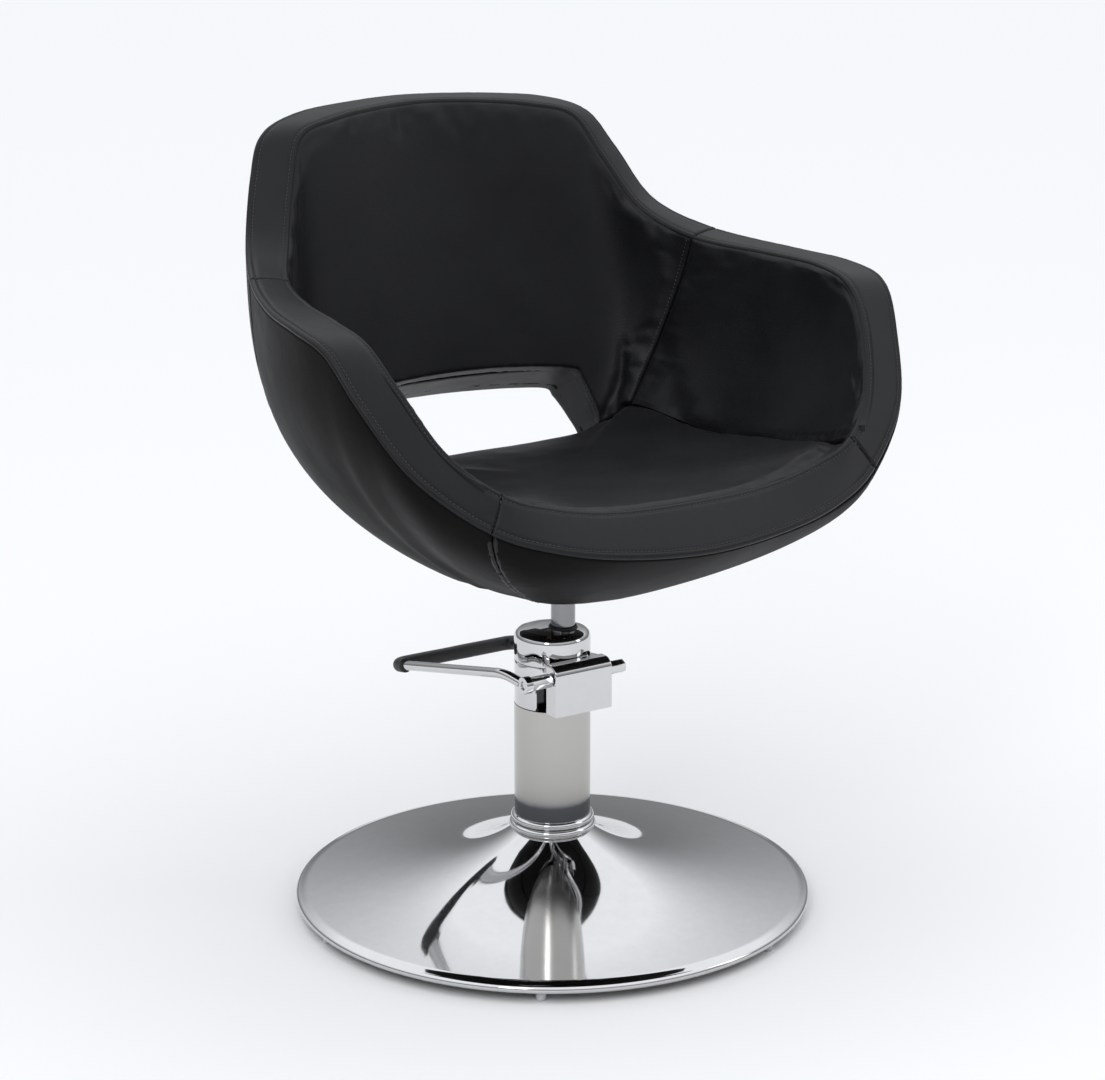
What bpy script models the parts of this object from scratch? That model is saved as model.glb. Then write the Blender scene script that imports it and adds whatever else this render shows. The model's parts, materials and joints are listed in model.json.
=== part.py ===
"""A salon styling chair: padded bucket seat on a hydraulic pump with a round trumpet base.

Metres, +Z up. The origin is the centre of the round base on the floor. The seat faces -Y.
"""

import math

import bmesh
import bpy
import numpy as np

# Fit between pieces
GAP = 0.0004
WELD = 0.00001

# Base. Every height from here on is measured from the underside of the rolled rim, less RIM_BOTTOM.
GROUND_CLEARANCE = 0.006
BASE_R = 0.300
BASE_SHEET = 0.002
RIM_TOP = 0.014
RIM_BOTTOM = 0.005
NECK_R = 0.0460
NECK_TOP = 0.0850
DOME_SLOPE = 0.080
FLARE = 0.070
FOOT_R = 0.0065
FOOT_RING_R = 0.286
FOOT_COUNT = 6
FOOT_START = math.radians(-126.0)
BEAD_R = 0.0505
WEIGHT_R = 0.2600
WEIGHT_T = 0.0050
WEIGHT_BOTTOM = -0.0020

# Pump
TUBE_R = 0.0440
TUBE_WALL = 0.0025
TUBE_TOP = 0.2370
HEAD_TOP = 0.2960
CAP_TOP = 0.3275
CAP_SKIRT = 0.2900
CAP_WALL = 0.0016
RAM_R = 0.0140
RAM_X = 0.0102
RAM_Y = -0.0068
PISTON_BOTTOM = 0.0960
PISTON_HEIGHT = 0.0140
BARREL_WALL = 0.0040

# Lever
PIVOT_Y = -0.0550
PIVOT_Z = 0.2840
PIN_R = 0.0045
PIN_LEFT = -0.0745
PIN_RIGHT = 0.0392
EYE_LEFT = -0.0718
EYE_RIGHT = 0.0300
NUT_R = 0.0095
BAR_R = 0.00575
PEDAL_Y = 0.2140
PEDAL_Z = 0.2380
PEDAL_HALF = 0.0800
COVER_HALF = 0.0385
COVER_FRONT = -0.0660
COVER_BOTTOM = 0.2415
COVER_TOP = 0.3000
PLUNGER_X = -0.0040
PLUNGER_Y = -0.0370

# Tub: depth of each layer below the outer leather, and of the pads below the inner leather
BAND_T = 0.0040
SKIN_T = 0.0045
FRAME_T = 0.0062
PAD_T = 0.0100
SEAT_CENTRE_Z = 0.5030
POLE_Z = 0.3655
POLE_HOLE = 0.93
UNDERSIDE_FROM = 0.62
BOARD_BOTTOM = 0.4390
BOARD_T = 0.0180
LINER_T = 0.0035

# Rim stations from front centre (0) to back centre (15): outer edge, inner edge, seat edge.
# Measured from the ram's axis; the other half is the mirror image.
RIM = (
    ((0.000, -0.287, 0.483), (0.000, -0.241, 0.527), (0.000, -0.241, 0.527)),
    ((0.105, -0.280, 0.490), (0.098, -0.239, 0.530), (0.098, -0.239, 0.530)),
    ((0.184, -0.267, 0.505), (0.172, -0.235, 0.544), (0.172, -0.235, 0.544)),
    ((0.249, -0.243, 0.529), (0.227, -0.228, 0.565), (0.227, -0.228, 0.564)),
    ((0.315, -0.205, 0.585), (0.273, -0.196, 0.607), (0.241, -0.180, 0.548)),
    ((0.349, -0.157, 0.652), (0.301, -0.154, 0.668), (0.247, -0.130, 0.536)),
    ((0.365, -0.115, 0.705), (0.313, -0.112, 0.708), (0.250, -0.090, 0.529)),
    ((0.367, -0.055, 0.720), (0.315, -0.053, 0.722), (0.248, -0.035, 0.523)),
    ((0.350, 0.035, 0.726), (0.302, 0.030, 0.726), (0.242, 0.050, 0.515)),
    ((0.314, 0.139, 0.738), (0.272, 0.130, 0.733), (0.207, 0.162, 0.533)),
    ((0.277, 0.218, 0.768), (0.239, 0.192, 0.764), (0.197, 0.180, 0.515)),
    ((0.248, 0.259, 0.830), (0.210, 0.232, 0.823), (0.180, 0.192, 0.503)),
    ((0.222, 0.283, 0.872), (0.184, 0.256, 0.872), (0.150, 0.200, 0.494)),
    ((0.170, 0.305, 0.890), (0.135, 0.271, 0.886), (0.110, 0.208, 0.489)),
    ((0.090, 0.328, 0.896), (0.072, 0.287, 0.893), (0.060, 0.214, 0.485)),
    ((0.000, 0.337, 0.899), (0.000, 0.294, 0.896), (0.000, 0.216, 0.484)),
)
FRONT_SEAM = 3
BACK_SEAM = 9
BACK_CENTRE = 15
AROUND = 2 * BACK_CENTRE
# The outer shell's section at these stations: how far round its quarter goes, how square it is,
# and how much it swells below the rim.
SHAPE_AT = (0, 3, 6, 9, 12, 15)
FULLNESS = (0.56, 0.58, 0.955, 0.985, 0.985, 0.985)
SQUARENESS = (1.60, 1.60, 1.76, 1.90, 2.93, 3.05)
SWELL = (0.00, 0.22, 0.19, 0.24, 0.22, 0.08)
HOLLOW_AT = (3, 6, 9, 15)
HOLLOW = (0.002, 0.018, 0.018, 0.008)
# Window in the back, right half, from its bottom corner to the top centre, on the inner and outer face
WINDOW = (
    ((0.000, 0.214, 0.488), (0.000, 0.260, 0.464)),
    ((0.090, 0.209, 0.490), (0.090, 0.252, 0.468)),
    ((0.170, 0.196, 0.497), (0.166, 0.236, 0.474)),
    ((0.181, 0.196, 0.506), (0.177, 0.236, 0.482)),
    ((0.176, 0.203, 0.530), (0.172, 0.252, 0.503)),
    ((0.167, 0.212, 0.558), (0.163, 0.270, 0.525)),
    ((0.155, 0.219, 0.570), (0.151, 0.278, 0.535)),
    ((0.080, 0.243, 0.571), (0.078, 0.296, 0.538)),
    ((0.000, 0.251, 0.571), (0.000, 0.302, 0.539)),
)


# --- Scene helpers -------------------------------------------------------------------------------


def clear_scene():
    for obj in list(bpy.data.objects):
        bpy.data.objects.remove(obj, do_unlink=True)


def make_collection(name):
    collection = bpy.data.collections.new(name)
    bpy.context.scene.collection.children.link(collection)
    return collection


def make_material(name, colour, roughness, metallic):
    material = bpy.data.materials.new(name)
    material.use_nodes = True
    shader = material.node_tree.nodes["Principled BSDF"]
    shader.inputs["Base Color"].default_value = (*colour, 1.0)
    shader.inputs["Roughness"].default_value = roughness
    shader.inputs["Metallic"].default_value = metallic
    return material


def add_object(name, data, look, location=(0.0, 0.0, 0.0), parent=None):
    """Puts the data in the chair's collection, with a material of its own."""
    obj = bpy.data.objects.new(name, data)
    data.materials.append(make_material(name, *LOOKS[look]))
    obj.location = location
    obj.parent = parent or BASE
    CHAIR.objects.link(obj)
    return obj


def add_cutter(name, mesh, location=(0.0, 0.0, 0.0), parent=None):
    obj = bpy.data.objects.new(name, mesh)
    obj.location = location
    obj.parent = parent or BASE
    obj.hide_render = True
    obj.display_type = "WIRE"
    CUTTERS.objects.link(obj)
    return obj


def cut(obj, cutter):
    modifier = obj.modifiers.new(cutter.name, "BOOLEAN")
    modifier.operation = "DIFFERENCE"
    modifier.solver = "EXACT"
    modifier.object = cutter


def add_empty(name, location, parent=None):
    empty = bpy.data.objects.new(name, None)
    empty.location = location
    empty.parent = parent
    CHAIR.objects.link(empty)
    return empty


# --- Shape helpers -------------------------------------------------------------------------------


def mesh_from(bm, name):
    mesh = bpy.data.meshes.new(name)
    bm.normal_update()
    bmesh.ops.recalc_face_normals(bm, faces=bm.faces[:])
    bm.to_mesh(mesh)
    bm.free()
    return mesh


def cylinder_mesh(name, radius, low, high, segments=32, axis="Z", top_radius=None):
    """A cylinder, or a cone with top_radius, between two heights on its axis."""
    bm = bmesh.new()
    bmesh.ops.create_cone(
        bm,
        cap_ends=True,
        segments=segments,
        radius1=radius,
        radius2=radius if top_radius is None else top_radius,
        depth=high - low,
    )
    bmesh.ops.translate(bm, vec=(0.0, 0.0, (low + high) / 2), verts=bm.verts[:])
    if axis == "X":
        turn = ((0, 0, 1), (0, 1, 0), (-1, 0, 0))
        for vert in bm.verts:
            x, y, z = vert.co
            vert.co = [row[0] * x + row[1] * y + row[2] * z for row in turn]
    mesh = mesh_from(bm, name)
    mesh.shade_smooth()
    mesh.set_sharp_from_angle(angle=math.radians(35))
    return mesh


def box_mesh(name, low, high):
    bm = bmesh.new()
    bmesh.ops.create_cube(bm, size=1.0)
    low = np.array(low)
    high = np.array(high)
    for vert in bm.verts:
        vert.co = low + (high - low) * (np.array(vert.co) + 0.5)
    return mesh_from(bm, name)


def turned(name, profile, look, steps=48, location=(0.0, 0.0, 0.0), closed=True, parent=None):
    """A turned piece: the profile runs down its outer side, then up its inner side."""
    bm = bmesh.new()
    verts = [bm.verts.new((r, 0.0, z)) for r, z in profile]
    for first, second in zip(verts, verts[1:]):
        bm.edges.new((first, second))
    if closed:
        bm.edges.new((verts[-1], verts[0]))
    mesh = bpy.data.meshes.new(name)
    bm.to_mesh(mesh)
    bm.free()
    obj = add_object(name, mesh, look, location, parent)
    screw = obj.modifiers.new("turn", "SCREW")
    screw.steps = steps
    screw.render_steps = steps
    screw.use_merge_vertices = True
    screw.merge_threshold = WELD
    screw.use_smooth_shade = True
    return obj


def ring_profile(inner, outer, low, high, edge=0.0005):
    """A rectangular section with its outer corners broken."""
    return (
        (outer - edge, high),
        (outer, high - edge),
        (outer, low + edge),
        (outer - edge, low),
        (inner, low),
        (inner, high),
    )


def rod(name, points, radius, look, parent=None, caps=True):
    """A round rod or tube along the points."""
    curve = bpy.data.curves.new(name, "CURVE")
    curve.dimensions = "3D"
    curve.bevel_depth = radius
    curve.bevel_resolution = 2
    curve.use_fill_caps = caps
    spline = curve.splines.new("POLY")
    spline.points.add(len(points) - 1)
    for point, place in zip(spline.points, points):
        point.co = (*place, 1.0)
    return add_object(name, curve, look, (0.0, 0.0, 0.0), parent)


def as_mesh(obj):
    """Replaces a curve object by the mesh it makes, with its caps welded."""
    name = obj.name
    evaluated = obj.evaluated_get(bpy.context.evaluated_depsgraph_get())
    mesh = bpy.data.meshes.new_from_object(evaluated)
    bm = bmesh.new()
    bm.from_mesh(mesh)
    bmesh.ops.remove_doubles(bm, verts=bm.verts[:], dist=WELD)
    bm.to_mesh(mesh)
    bm.free()
    made = bpy.data.objects.new(name, mesh)
    CHAIR.objects.link(made)
    made.parent = obj.parent
    made.matrix_world = obj.matrix_world.copy()
    bpy.data.objects.remove(obj, do_unlink=True)
    made.name = name
    return made


# --- The tub's form ------------------------------------------------------------------------------


def through(points, t):
    """A smooth curve through the stations, level and symmetric at both ends."""
    points = np.array(points, float)
    mirror = np.array((-1.0, 1.0, 1.0))
    points = np.vstack((points[1] * mirror, points, points[-2] * mirror))
    t = min(max(t, 0.0), len(points) - 3 - 1e-9)
    index = int(t)
    f = t - index
    a, b, c, d = points[index : index + 4]
    return 0.5 * (2 * b + (c - a) * f + (2 * a - 5 * b + 4 * c - d) * f**2 + (3 * b - a - 3 * c + d) * f**3)


def eased(stations, values, t):
    """A value that eases from station to station."""
    index = min(max(int(np.searchsorted(stations, t, side="right")) - 1, 0), len(stations) - 2)
    f = (t - stations[index]) / (stations[index + 1] - stations[index])
    f = min(max(f, 0.0), 1.0)
    f = f * f * (3 - 2 * f)
    return values[index] * (1 - f) + values[index + 1] * f


def halved(way):
    """The station and the side, +1 or -1, of a place on the way round the rim."""
    way = way % AROUND
    if way <= BACK_CENTRE:
        return way, np.array((1.0, 1.0, 1.0))
    return AROUND - way, np.array((-1.0, 1.0, 1.0))


def quarter(rho, squareness):
    return 1 - (1 - min(rho, 1 - 1e-9) ** squareness) ** (1 / squareness)


def outer_edge(way):
    station, side = halved(way)
    return through([row[0] for row in RIM], station) * side


def inner_edge(way):
    station, side = halved(way)
    return through([row[1] for row in RIM], station) * side


def seat_edge(way):
    station, side = halved(way)
    return through([row[2] for row in RIM], station) * side


def outer_shell(way, down):
    """The outer leather: down is 0 at the rim and 1 at the pole under the seat."""
    station, _ = halved(way)
    edge = outer_edge(way)
    full = eased(SHAPE_AT, FULLNESS, station)
    square = eased(SHAPE_AT, SQUARENESS, station)
    rho = 1 - down
    rise = quarter(full * rho, square) / quarter(full, square)
    spread = rho * (1 + 4 * eased(SHAPE_AT, SWELL, station) * down * rho**3)
    return np.array((edge[0] * spread, edge[1] * spread, POLE_Z + (edge[2] - POLE_Z) * rise))


def inner_wall(way, down):
    """The inner leather: down is 0 at the rim and 1 at the seat's edge."""
    station, _ = halved(way)
    top = inner_edge(way)
    low = seat_edge(way)
    place = top + (low - top) * down
    outward = np.array((place[0], place[1], 0.0))
    outward /= np.linalg.norm(outward)
    return place + outward * 4 * eased(HOLLOW_AT, HOLLOW, station) * down * (1 - down)


def band(way, across):
    """The band that closes the wall at the rim: across is 0 at its outer and 1 at its inner edge."""
    return outer_edge(way) * (1 - across) + inner_edge(way) * across


def seat_top(way, out):
    """The seat's top: out is 0 in the middle and 1 at its edge."""
    edge = seat_edge(way)
    height = SEAT_CENTRE_Z + (edge[2] - SEAT_CENTRE_Z) * out**2.5
    return np.array((edge[0] * out, edge[1] * out, height))


def bowl_height(x, y):
    """The height of the outer shell under a point."""
    ways = np.linspace(0, BACK_CENTRE, 61)
    edges = np.array([outer_edge(way) for way in ways])
    bearings = np.arctan2(edges[:, 0], -edges[:, 1])
    way = float(np.interp(math.atan2(abs(x), -y), bearings, ways))
    reach = np.linalg.norm(outer_edge(way)[:2])
    return outer_shell(way, 1 - min(math.hypot(x, y) / reach, 1.0))[2]


def sunk(surface, depth):
    """The surface moved by depth along its normal, to the sitter's side where depth is positive."""
    step = 1e-4

    def moved(a, b):
        along = surface(a + step, b) - surface(a - step, b)
        other = surface(a, b + step) - surface(a, b - step)
        normal = np.cross(along, other)
        return surface(a, b) + normal / np.linalg.norm(normal) * depth

    return moved


def share_of_height(surface, way, distance, far=1.0):
    """The share of the way down the surface at which a distance from the rim is reached."""
    steps = np.linspace(0, far, 41)
    places = np.array([surface(way, s) for s in steps])
    run = np.concatenate(((0,), np.cumsum(np.linalg.norm(np.diff(places, axis=0), axis=1))))
    return float(np.interp(distance, run, steps))


def sheet_mesh(name, place, columns, rows):
    """A flat grid laid over a surface, with its meeting edges welded."""
    across = len(columns) - 1
    along = len(rows) - 1
    bm = bmesh.new()
    bmesh.ops.create_grid(bm, x_segments=across, y_segments=along, size=0.5)
    for vert in bm.verts:
        column = columns[round((vert.co.x + 0.5) * across)]
        row = rows[round((vert.co.y + 0.5) * along)]
        vert.co = place(column, row)
    bmesh.ops.remove_doubles(bm, verts=bm.verts[:], dist=WELD)
    mesh = bpy.data.meshes.new(name)
    bm.to_mesh(mesh)
    bm.free()
    mesh.shade_smooth()
    return mesh


def panel(name, place, columns, rows, thickness, look, inwards):
    """A curved panel: an open sheet made solid to one side."""
    obj = add_object(name, sheet_mesh(name, place, columns, rows), look, parent=TUB)
    solid = obj.modifiers.new("thickness", "SOLIDIFY")
    solid.thickness = thickness
    solid.offset = 1.0 if inwards else -1.0
    solid.use_even_offset = True
    return obj


def spread(low, high, count):
    return list(np.linspace(low, high, count + 1))


# --- Base ----------------------------------------------------------------------------------------


def dome_height(radius):
    """The trumpet: a low cone that flares up to the neck."""
    cone = RIM_TOP + DOME_SLOPE * (BASE_R - radius)
    neck_cone = RIM_TOP + DOME_SLOPE * (BASE_R - NECK_R)
    return cone + (NECK_TOP - neck_cone) * math.exp((NECK_R - radius) / FLARE)


def make_dome():
    radii = [NECK_R * (0.290 / NECK_R) ** (i / 11) for i in range(12)]
    outer = [(r, dome_height(r)) for r in radii]
    lip = [(0.2960, 0.0138), (0.2990, 0.0122), (0.3000, 0.0095), (0.2992, 0.0066), (0.2968, 0.0050)]
    inner = [(0.2940, 0.0062), (0.2925, 0.0110)]
    under = [(r - BASE_SHEET * 0.6, dome_height(r) - BASE_SHEET) for r in reversed(radii[::2])]
    turned("base_dome", outer + lip + inner + under, "chrome", steps=48)


def make_feet():
    for index in range(FOOT_COUNT):
        angle = FOOT_START + math.tau * index / FOOT_COUNT
        name = f"foot_{index + 1}"
        top = dome_height(FOOT_RING_R) - BASE_SHEET - 0.0050
        mesh = cylinder_mesh(name, FOOT_R * 0.9, -GROUND_CLEARANCE, top, 20, top_radius=FOOT_R)
        place = (FOOT_RING_R * math.cos(angle), FOOT_RING_R * math.sin(angle), 0.0)
        add_object(name, mesh, "plastic", place)


def bead_profile(low, high, inner, outer):
    """Two rounded beads, one on the other, round the foot of the pump."""
    middle = (low + high) / 2
    beads = []
    for bottom, top in ((middle, high), (low, middle)):
        half = (top - bottom) / 2
        for step in range(6):
            angle = math.pi / 2 - math.pi * step / 5
            beads.append((outer - half * 0.8 * (1 - math.cos(angle)), bottom + half * (1 + math.sin(angle))))
    tidy = [point for i, point in enumerate(beads) if i == 0 or math.dist(point, beads[i - 1]) > 1e-6]
    return tidy + [(inner, low), (inner, high)]


def make_base_fittings():
    turned("base_collar", bead_profile(NECK_TOP + GAP, 0.1030, TUBE_R + GAP, BEAD_R), "chrome", steps=36)
    flange = ring_profile(0.0120, NECK_R - BASE_SHEET - 0.0026, NECK_TOP - 0.0080, NECK_TOP - 0.0010)
    turned("base_flange", flange, "steel", steps=32)
    weight = cylinder_mesh("base_weight", WEIGHT_R, WEIGHT_BOTTOM, WEIGHT_BOTTOM + WEIGHT_T, 48)
    add_object("base_weight", weight, "steel")
    low = WEIGHT_BOTTOM + WEIGHT_T + GAP
    tie = cylinder_mesh("tie_bolt", 0.0060, low, NECK_TOP - 0.0210 - GAP, 20)
    add_object("tie_bolt", tie, "steel")
    nut = cylinder_mesh("base_nut", 0.0190, NECK_TOP - 0.0210, NECK_TOP - 0.0084, 6)
    add_object("base_nut", nut, "steel")


# --- Pump ----------------------------------------------------------------------------------------


def make_cylinder():
    bottom = NECK_TOP + GAP
    profile = (
        (TUBE_R, TUBE_TOP),
        (TUBE_R, bottom),
        (0.0060, bottom),
        (0.0060, bottom + 0.0040),
        (TUBE_R - TUBE_WALL, bottom + 0.0040),
        (TUBE_R - TUBE_WALL, TUBE_TOP),
    )
    turned("pump_cylinder", profile, "satin_steel", steps=48)


def make_barrel():
    inner = RAM_R + 0.0025
    low = NECK_TOP + 0.0050
    barrel = ring_profile(inner, inner + BARREL_WALL, low, TUBE_TOP + 0.0200)
    turned("pump_barrel", barrel, "steel", 32, (RAM_X, RAM_Y, 0.0))


def make_head():
    bottom = TUBE_TOP + GAP
    profile = ring_profile(0.0, TUBE_R - 0.0002, bottom, HEAD_TOP)[:-2]
    outline = [(0.0, HEAD_TOP), *profile, (0.0, bottom)]
    head = turned("pump_head", outline, "chrome", 48, closed=False)
    bore = RAM_R + 0.0025 + BARREL_WALL + GAP
    spindle = cylinder_mesh("ram_bore", bore, 0.20, 0.34, 32)
    cut(head, add_cutter("ram_bore", spindle, (RAM_X, RAM_Y, 0.0)))
    notch = box_mesh("lever_notch", (-0.0150, -0.0600, 0.2700), (0.0080, -0.0285, 0.3100))
    cut(head, add_cutter("lever_notch", notch))
    plunger = cylinder_mesh("plunger_bore", 0.0050, TUBE_TOP + 0.0015, 0.2800, 20)
    cut(head, add_cutter("plunger_bore", plunger, (PLUNGER_X, PLUNGER_Y, 0.0)))
    slot = box_mesh("side_slot", (-0.0460, -0.0600, 0.2300), (-0.0200, -0.0222, 0.2690))
    cut(head, add_cutter("side_slot", slot))


def make_cap():
    dome = [(0.0, CAP_TOP), (0.0200, CAP_TOP - 0.0006), (0.0330, CAP_TOP - 0.0020)]
    edge = [(0.0392, CAP_TOP - 0.0036), (0.0424, CAP_TOP - 0.0062), (TUBE_R, CAP_TOP - 0.0100)]
    skirt = [(TUBE_R, CAP_SKIRT), (TUBE_R - CAP_WALL, CAP_SKIRT)]
    shelf = HEAD_TOP + GAP
    inside = [(TUBE_R - CAP_WALL, shelf), (0.0, shelf)]
    cap = turned("pump_cap", dome + edge + skirt + inside, "chrome", 48, closed=False)
    hole = cylinder_mesh("cap_hole", RAM_R + 0.0028, 0.28, 0.34, 32)
    cut(cap, add_cutter("cap_hole", hole, (RAM_X, RAM_Y, 0.0)))
    well = cylinder_mesh("cap_arch", 0.0200, -0.0700, -0.0300, 32, "X")
    arch = add_cutter("cap_arch", well, (0.0180, 0.0, 0.2840))
    arch.rotation_euler = (0.0, 0.0, math.radians(90))
    cut(cap, arch)


def trim_head():
    """The head stands inside the cap's skirt, so its upper part is turned down."""
    head = bpy.data.objects["pump_head"]
    outer = TUBE_R + 0.0100
    step = TUBE_R - CAP_WALL - GAP
    bm = bmesh.new()
    bmesh.ops.create_cone(bm, cap_ends=True, segments=48, radius1=outer, radius2=outer, depth=0.02)
    cutter_mesh = mesh_from(bm, "cap_step")
    cutter = add_cutter("cap_step", cutter_mesh, (0.0, 0.0, CAP_SKIRT - GAP + 0.01))
    core = cylinder_mesh("cap_step_core", step, 0.26, 0.34, 48)
    keep = add_cutter("cap_step_core", core)
    cut(cutter, keep)
    cut(head, cutter)


def make_ram():
    guide = ring_profile(RAM_R + 0.00035, RAM_R + 0.0061, 0.2610, HEAD_TOP)
    turned("ram_guide", guide, "bronze", 32, (RAM_X, RAM_Y, 0.0))
    wiper = (
        (RAM_R + 0.0012, CAP_TOP + 0.0020),
        (RAM_R + 0.0022, CAP_TOP + 0.0008),
        (RAM_R + 0.0022, HEAD_TOP + GAP),
        (RAM_R + 0.00035, HEAD_TOP + GAP),
        (RAM_R + 0.00035, CAP_TOP + 0.0020),
    )
    turned("ram_wiper", wiper, "rubber", 32, (RAM_X, RAM_Y, 0.0))
    piston = ring_profile(0.0, RAM_R + 0.0021, PISTON_BOTTOM, PISTON_BOTTOM + PISTON_HEIGHT)
    outline = [(0.0, PISTON_BOTTOM + PISTON_HEIGHT), *piston[:-2], (0.0, PISTON_BOTTOM)]
    turned("ram_piston", outline, "bronze", 32, (RAM_X, RAM_Y, 0.0), closed=False)
    foot = PISTON_BOTTOM + PISTON_HEIGHT + GAP
    shaft = (
        (0.0, 0.4300),
        (0.0108, 0.4300),
        (0.0118, 0.4290),
        (RAM_R - 0.0005, 0.3900),
        (RAM_R, 0.3890),
        (RAM_R, foot),
        (0.0, foot),
    )
    turned("ram", shaft, "polished_steel", 40, (0.0, 0.0, 0.0), closed=False, parent=TUB)


def make_plunger():
    top = 0.2786
    plunger = cylinder_mesh("pump_plunger", 0.0045, 0.2560, top, 20)
    add_object("pump_plunger", plunger, "steel", (PLUNGER_X, PLUNGER_Y, 0.0))
    turns = 3.0
    count = 36
    points = []
    for step in range(count + 1):
        angle = math.tau * turns * step / count
        height = 0.2395 + 0.0155 * step / count
        place = (PLUNGER_X + 0.0034 * math.cos(angle), PLUNGER_Y + 0.0034 * math.sin(angle), height)
        points.append(place)
    rod("plunger_spring", points, 0.0006, "steel")


# --- Lever ---------------------------------------------------------------------------------------


def make_cover():
    """A folded sheet: front, top and two side flanges, open at the back and below."""
    bm = bmesh.new()
    bmesh.ops.create_cube(bm, size=1.0)
    for vert in bm.verts:
        back = vert.co.y > 0
        vert.co.x = COVER_HALF if vert.co.x > 0 else -COVER_HALF
        vert.co.z = COVER_TOP if vert.co.z > 0 else COVER_BOTTOM
        vert.co.y = -0.0458 if back else COVER_FRONT
    bm.normal_update()
    open_sides = [face for face in bm.faces if face.normal.y > 0.5 or face.normal.z < -0.5]
    bmesh.ops.delete(bm, geom=open_sides, context="FACES")
    roll = [edge for edge in bm.edges if {round(face.normal.z) for face in edge.link_faces} == {0, 1}]
    roll = [edge for edge in roll if {round(face.normal.x) for face in edge.link_faces} == {0}]
    bmesh.ops.bevel(bm, geom=roll, offset=0.0120, segments=5, affect="EDGES", profile=0.5)
    bends = [edge for edge in bm.edges if len(edge.link_faces) == 2 and edge.calc_face_angle() > 1.0]
    bmesh.ops.bevel(bm, geom=bends, offset=0.0024, segments=2, affect="EDGES", profile=0.5)
    mesh = mesh_from(bm, "lever_cover")
    mesh.shade_smooth()
    cover = add_object("lever_cover", mesh, "chrome")
    solid = cover.modifiers.new("thickness", "SOLIDIFY")
    solid.thickness = 0.0018
    solid.offset = -1.0
    holes = cylinder_mesh("pin_holes", PIN_R + 0.0008, -0.0600, 0.0600, 20, "X")
    cut(cover, add_cutter("pin_holes", holes, (0.0, PIVOT_Y, PIVOT_Z)))


def tube_mesh_x(name, inner, outer, low, high):
    """A short tube along X."""
    bm = bmesh.new()
    for radius in (inner, outer):
        bmesh.ops.create_circle(bm, segments=24, radius=radius)
    faces = bmesh.ops.bridge_loops(bm, edges=bm.edges[:])["faces"]
    grown = bmesh.ops.extrude_face_region(bm, geom=faces, use_keep_orig=True)["geom"]
    top = [item for item in grown if isinstance(item, bmesh.types.BMVert)]
    bmesh.ops.translate(bm, vec=(0.0, 0.0, high - low), verts=top)
    for vert in bm.verts:
        x, y, z = vert.co
        vert.co = (z + low, y, -x)
    mesh = mesh_from(bm, name)
    mesh.shade_smooth()
    mesh.set_sharp_from_angle(angle=math.radians(35))
    return mesh


def make_pin():
    pin = cylinder_mesh("pivot_pin", PIN_R, PIN_LEFT, PIN_RIGHT, 24, "X")
    add_object("pivot_pin", pin, "chrome", parent=LEVER)
    inner = PIN_R + GAP
    for side, middle, outer in (("left", EYE_LEFT, 0.0100), ("right", EYE_RIGHT, 0.0086)):
        eye = tube_mesh_x(f"lever_eye_{side}", inner, outer, middle - 0.0045, middle + 0.0045)
        add_object(f"lever_eye_{side}", eye, "chrome", parent=LEVER)
    head = cylinder_mesh("pivot_bolt_head", NUT_R, PIN_RIGHT + GAP, PIN_RIGHT + 0.0208, 6, "X")
    add_object("pivot_bolt_head", head, "chrome", parent=LEVER)
    low = EYE_LEFT + 0.0045 + GAP
    nut_mesh = cylinder_mesh("pivot_nut_left", NUT_R, low, -COVER_HALF - 0.0012, 6, "X")
    nut = add_object("pivot_nut_left", nut_mesh, "chrome", parent=LEVER)
    hole = cylinder_mesh("nut_hole", inner, low - 0.01, -COVER_HALF + 0.01, 24, "X")
    cut(nut, add_cutter("nut_hole", hole, parent=LEVER))


def make_lugs():
    """The two lugs on the pump's head that carry the pin."""
    for side, low, back in (("left", -0.0320, -0.0364), ("right", 0.0160, -0.0414)):
        name = f"pin_lug_{side}"
        box = box_mesh(name, (low, -0.0610, 0.2740), (low + 0.0060, back, 0.2925))
        lug = add_object(name, box, "steel")
        hole = cylinder_mesh(f"{name}_hole", PIN_R + GAP, low - 0.01, low + 0.016, 24, "X")
        cut(lug, add_cutter(f"{name}_hole", hole, (0.0, PIVOT_Y, PIVOT_Z)))


def make_cam():
    """The hub on the pin, with the finger that presses the plunger."""
    hub = tube_mesh_x("lever_cam", PIN_R + GAP, 0.0085, PLUNGER_X - 0.0060, PLUNGER_X + 0.0060)
    cam = add_object("lever_cam", hub, "steel", parent=LEVER)
    low = (PLUNGER_X - 0.0045, 0.0060, -0.0048)
    high = (PLUNGER_X + 0.0045, 0.0220, 0.0010)
    finger = add_cutter("cam_finger", box_mesh("cam_finger", low, high), parent=LEVER)
    join = cam.modifiers.new("finger", "BOOLEAN")
    join.operation = "UNION"
    join.solver = "EXACT"
    join.object = finger


def rounded_path(corners, radius, steps=5):
    """The straight runs between the corners, with each corner turned into an arc-like bend."""
    corners = [np.array(corner, float) for corner in corners]
    points = [corners[0]]
    for before, corner, after in zip(corners, corners[1:], corners[2:]):
        room_before = np.linalg.norm(before - corner)
        room_after = np.linalg.norm(after - corner)
        reach = min(radius, 0.7 * room_before, 0.7 * room_after)
        start = corner + (before - corner) / room_before * reach
        end = corner + (after - corner) / room_after * reach
        for step in range(steps + 1):
            t = step / steps
            points.append(start * (1 - t) ** 2 + corner * 2 * t * (1 - t) + end * t**2)
    return [*points, corners[-1]]


def pedal_corner(side):
    return (side * (PEDAL_HALF + 0.0030), PEDAL_Y - PIVOT_Y, PEDAL_Z - PIVOT_Z)


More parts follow.
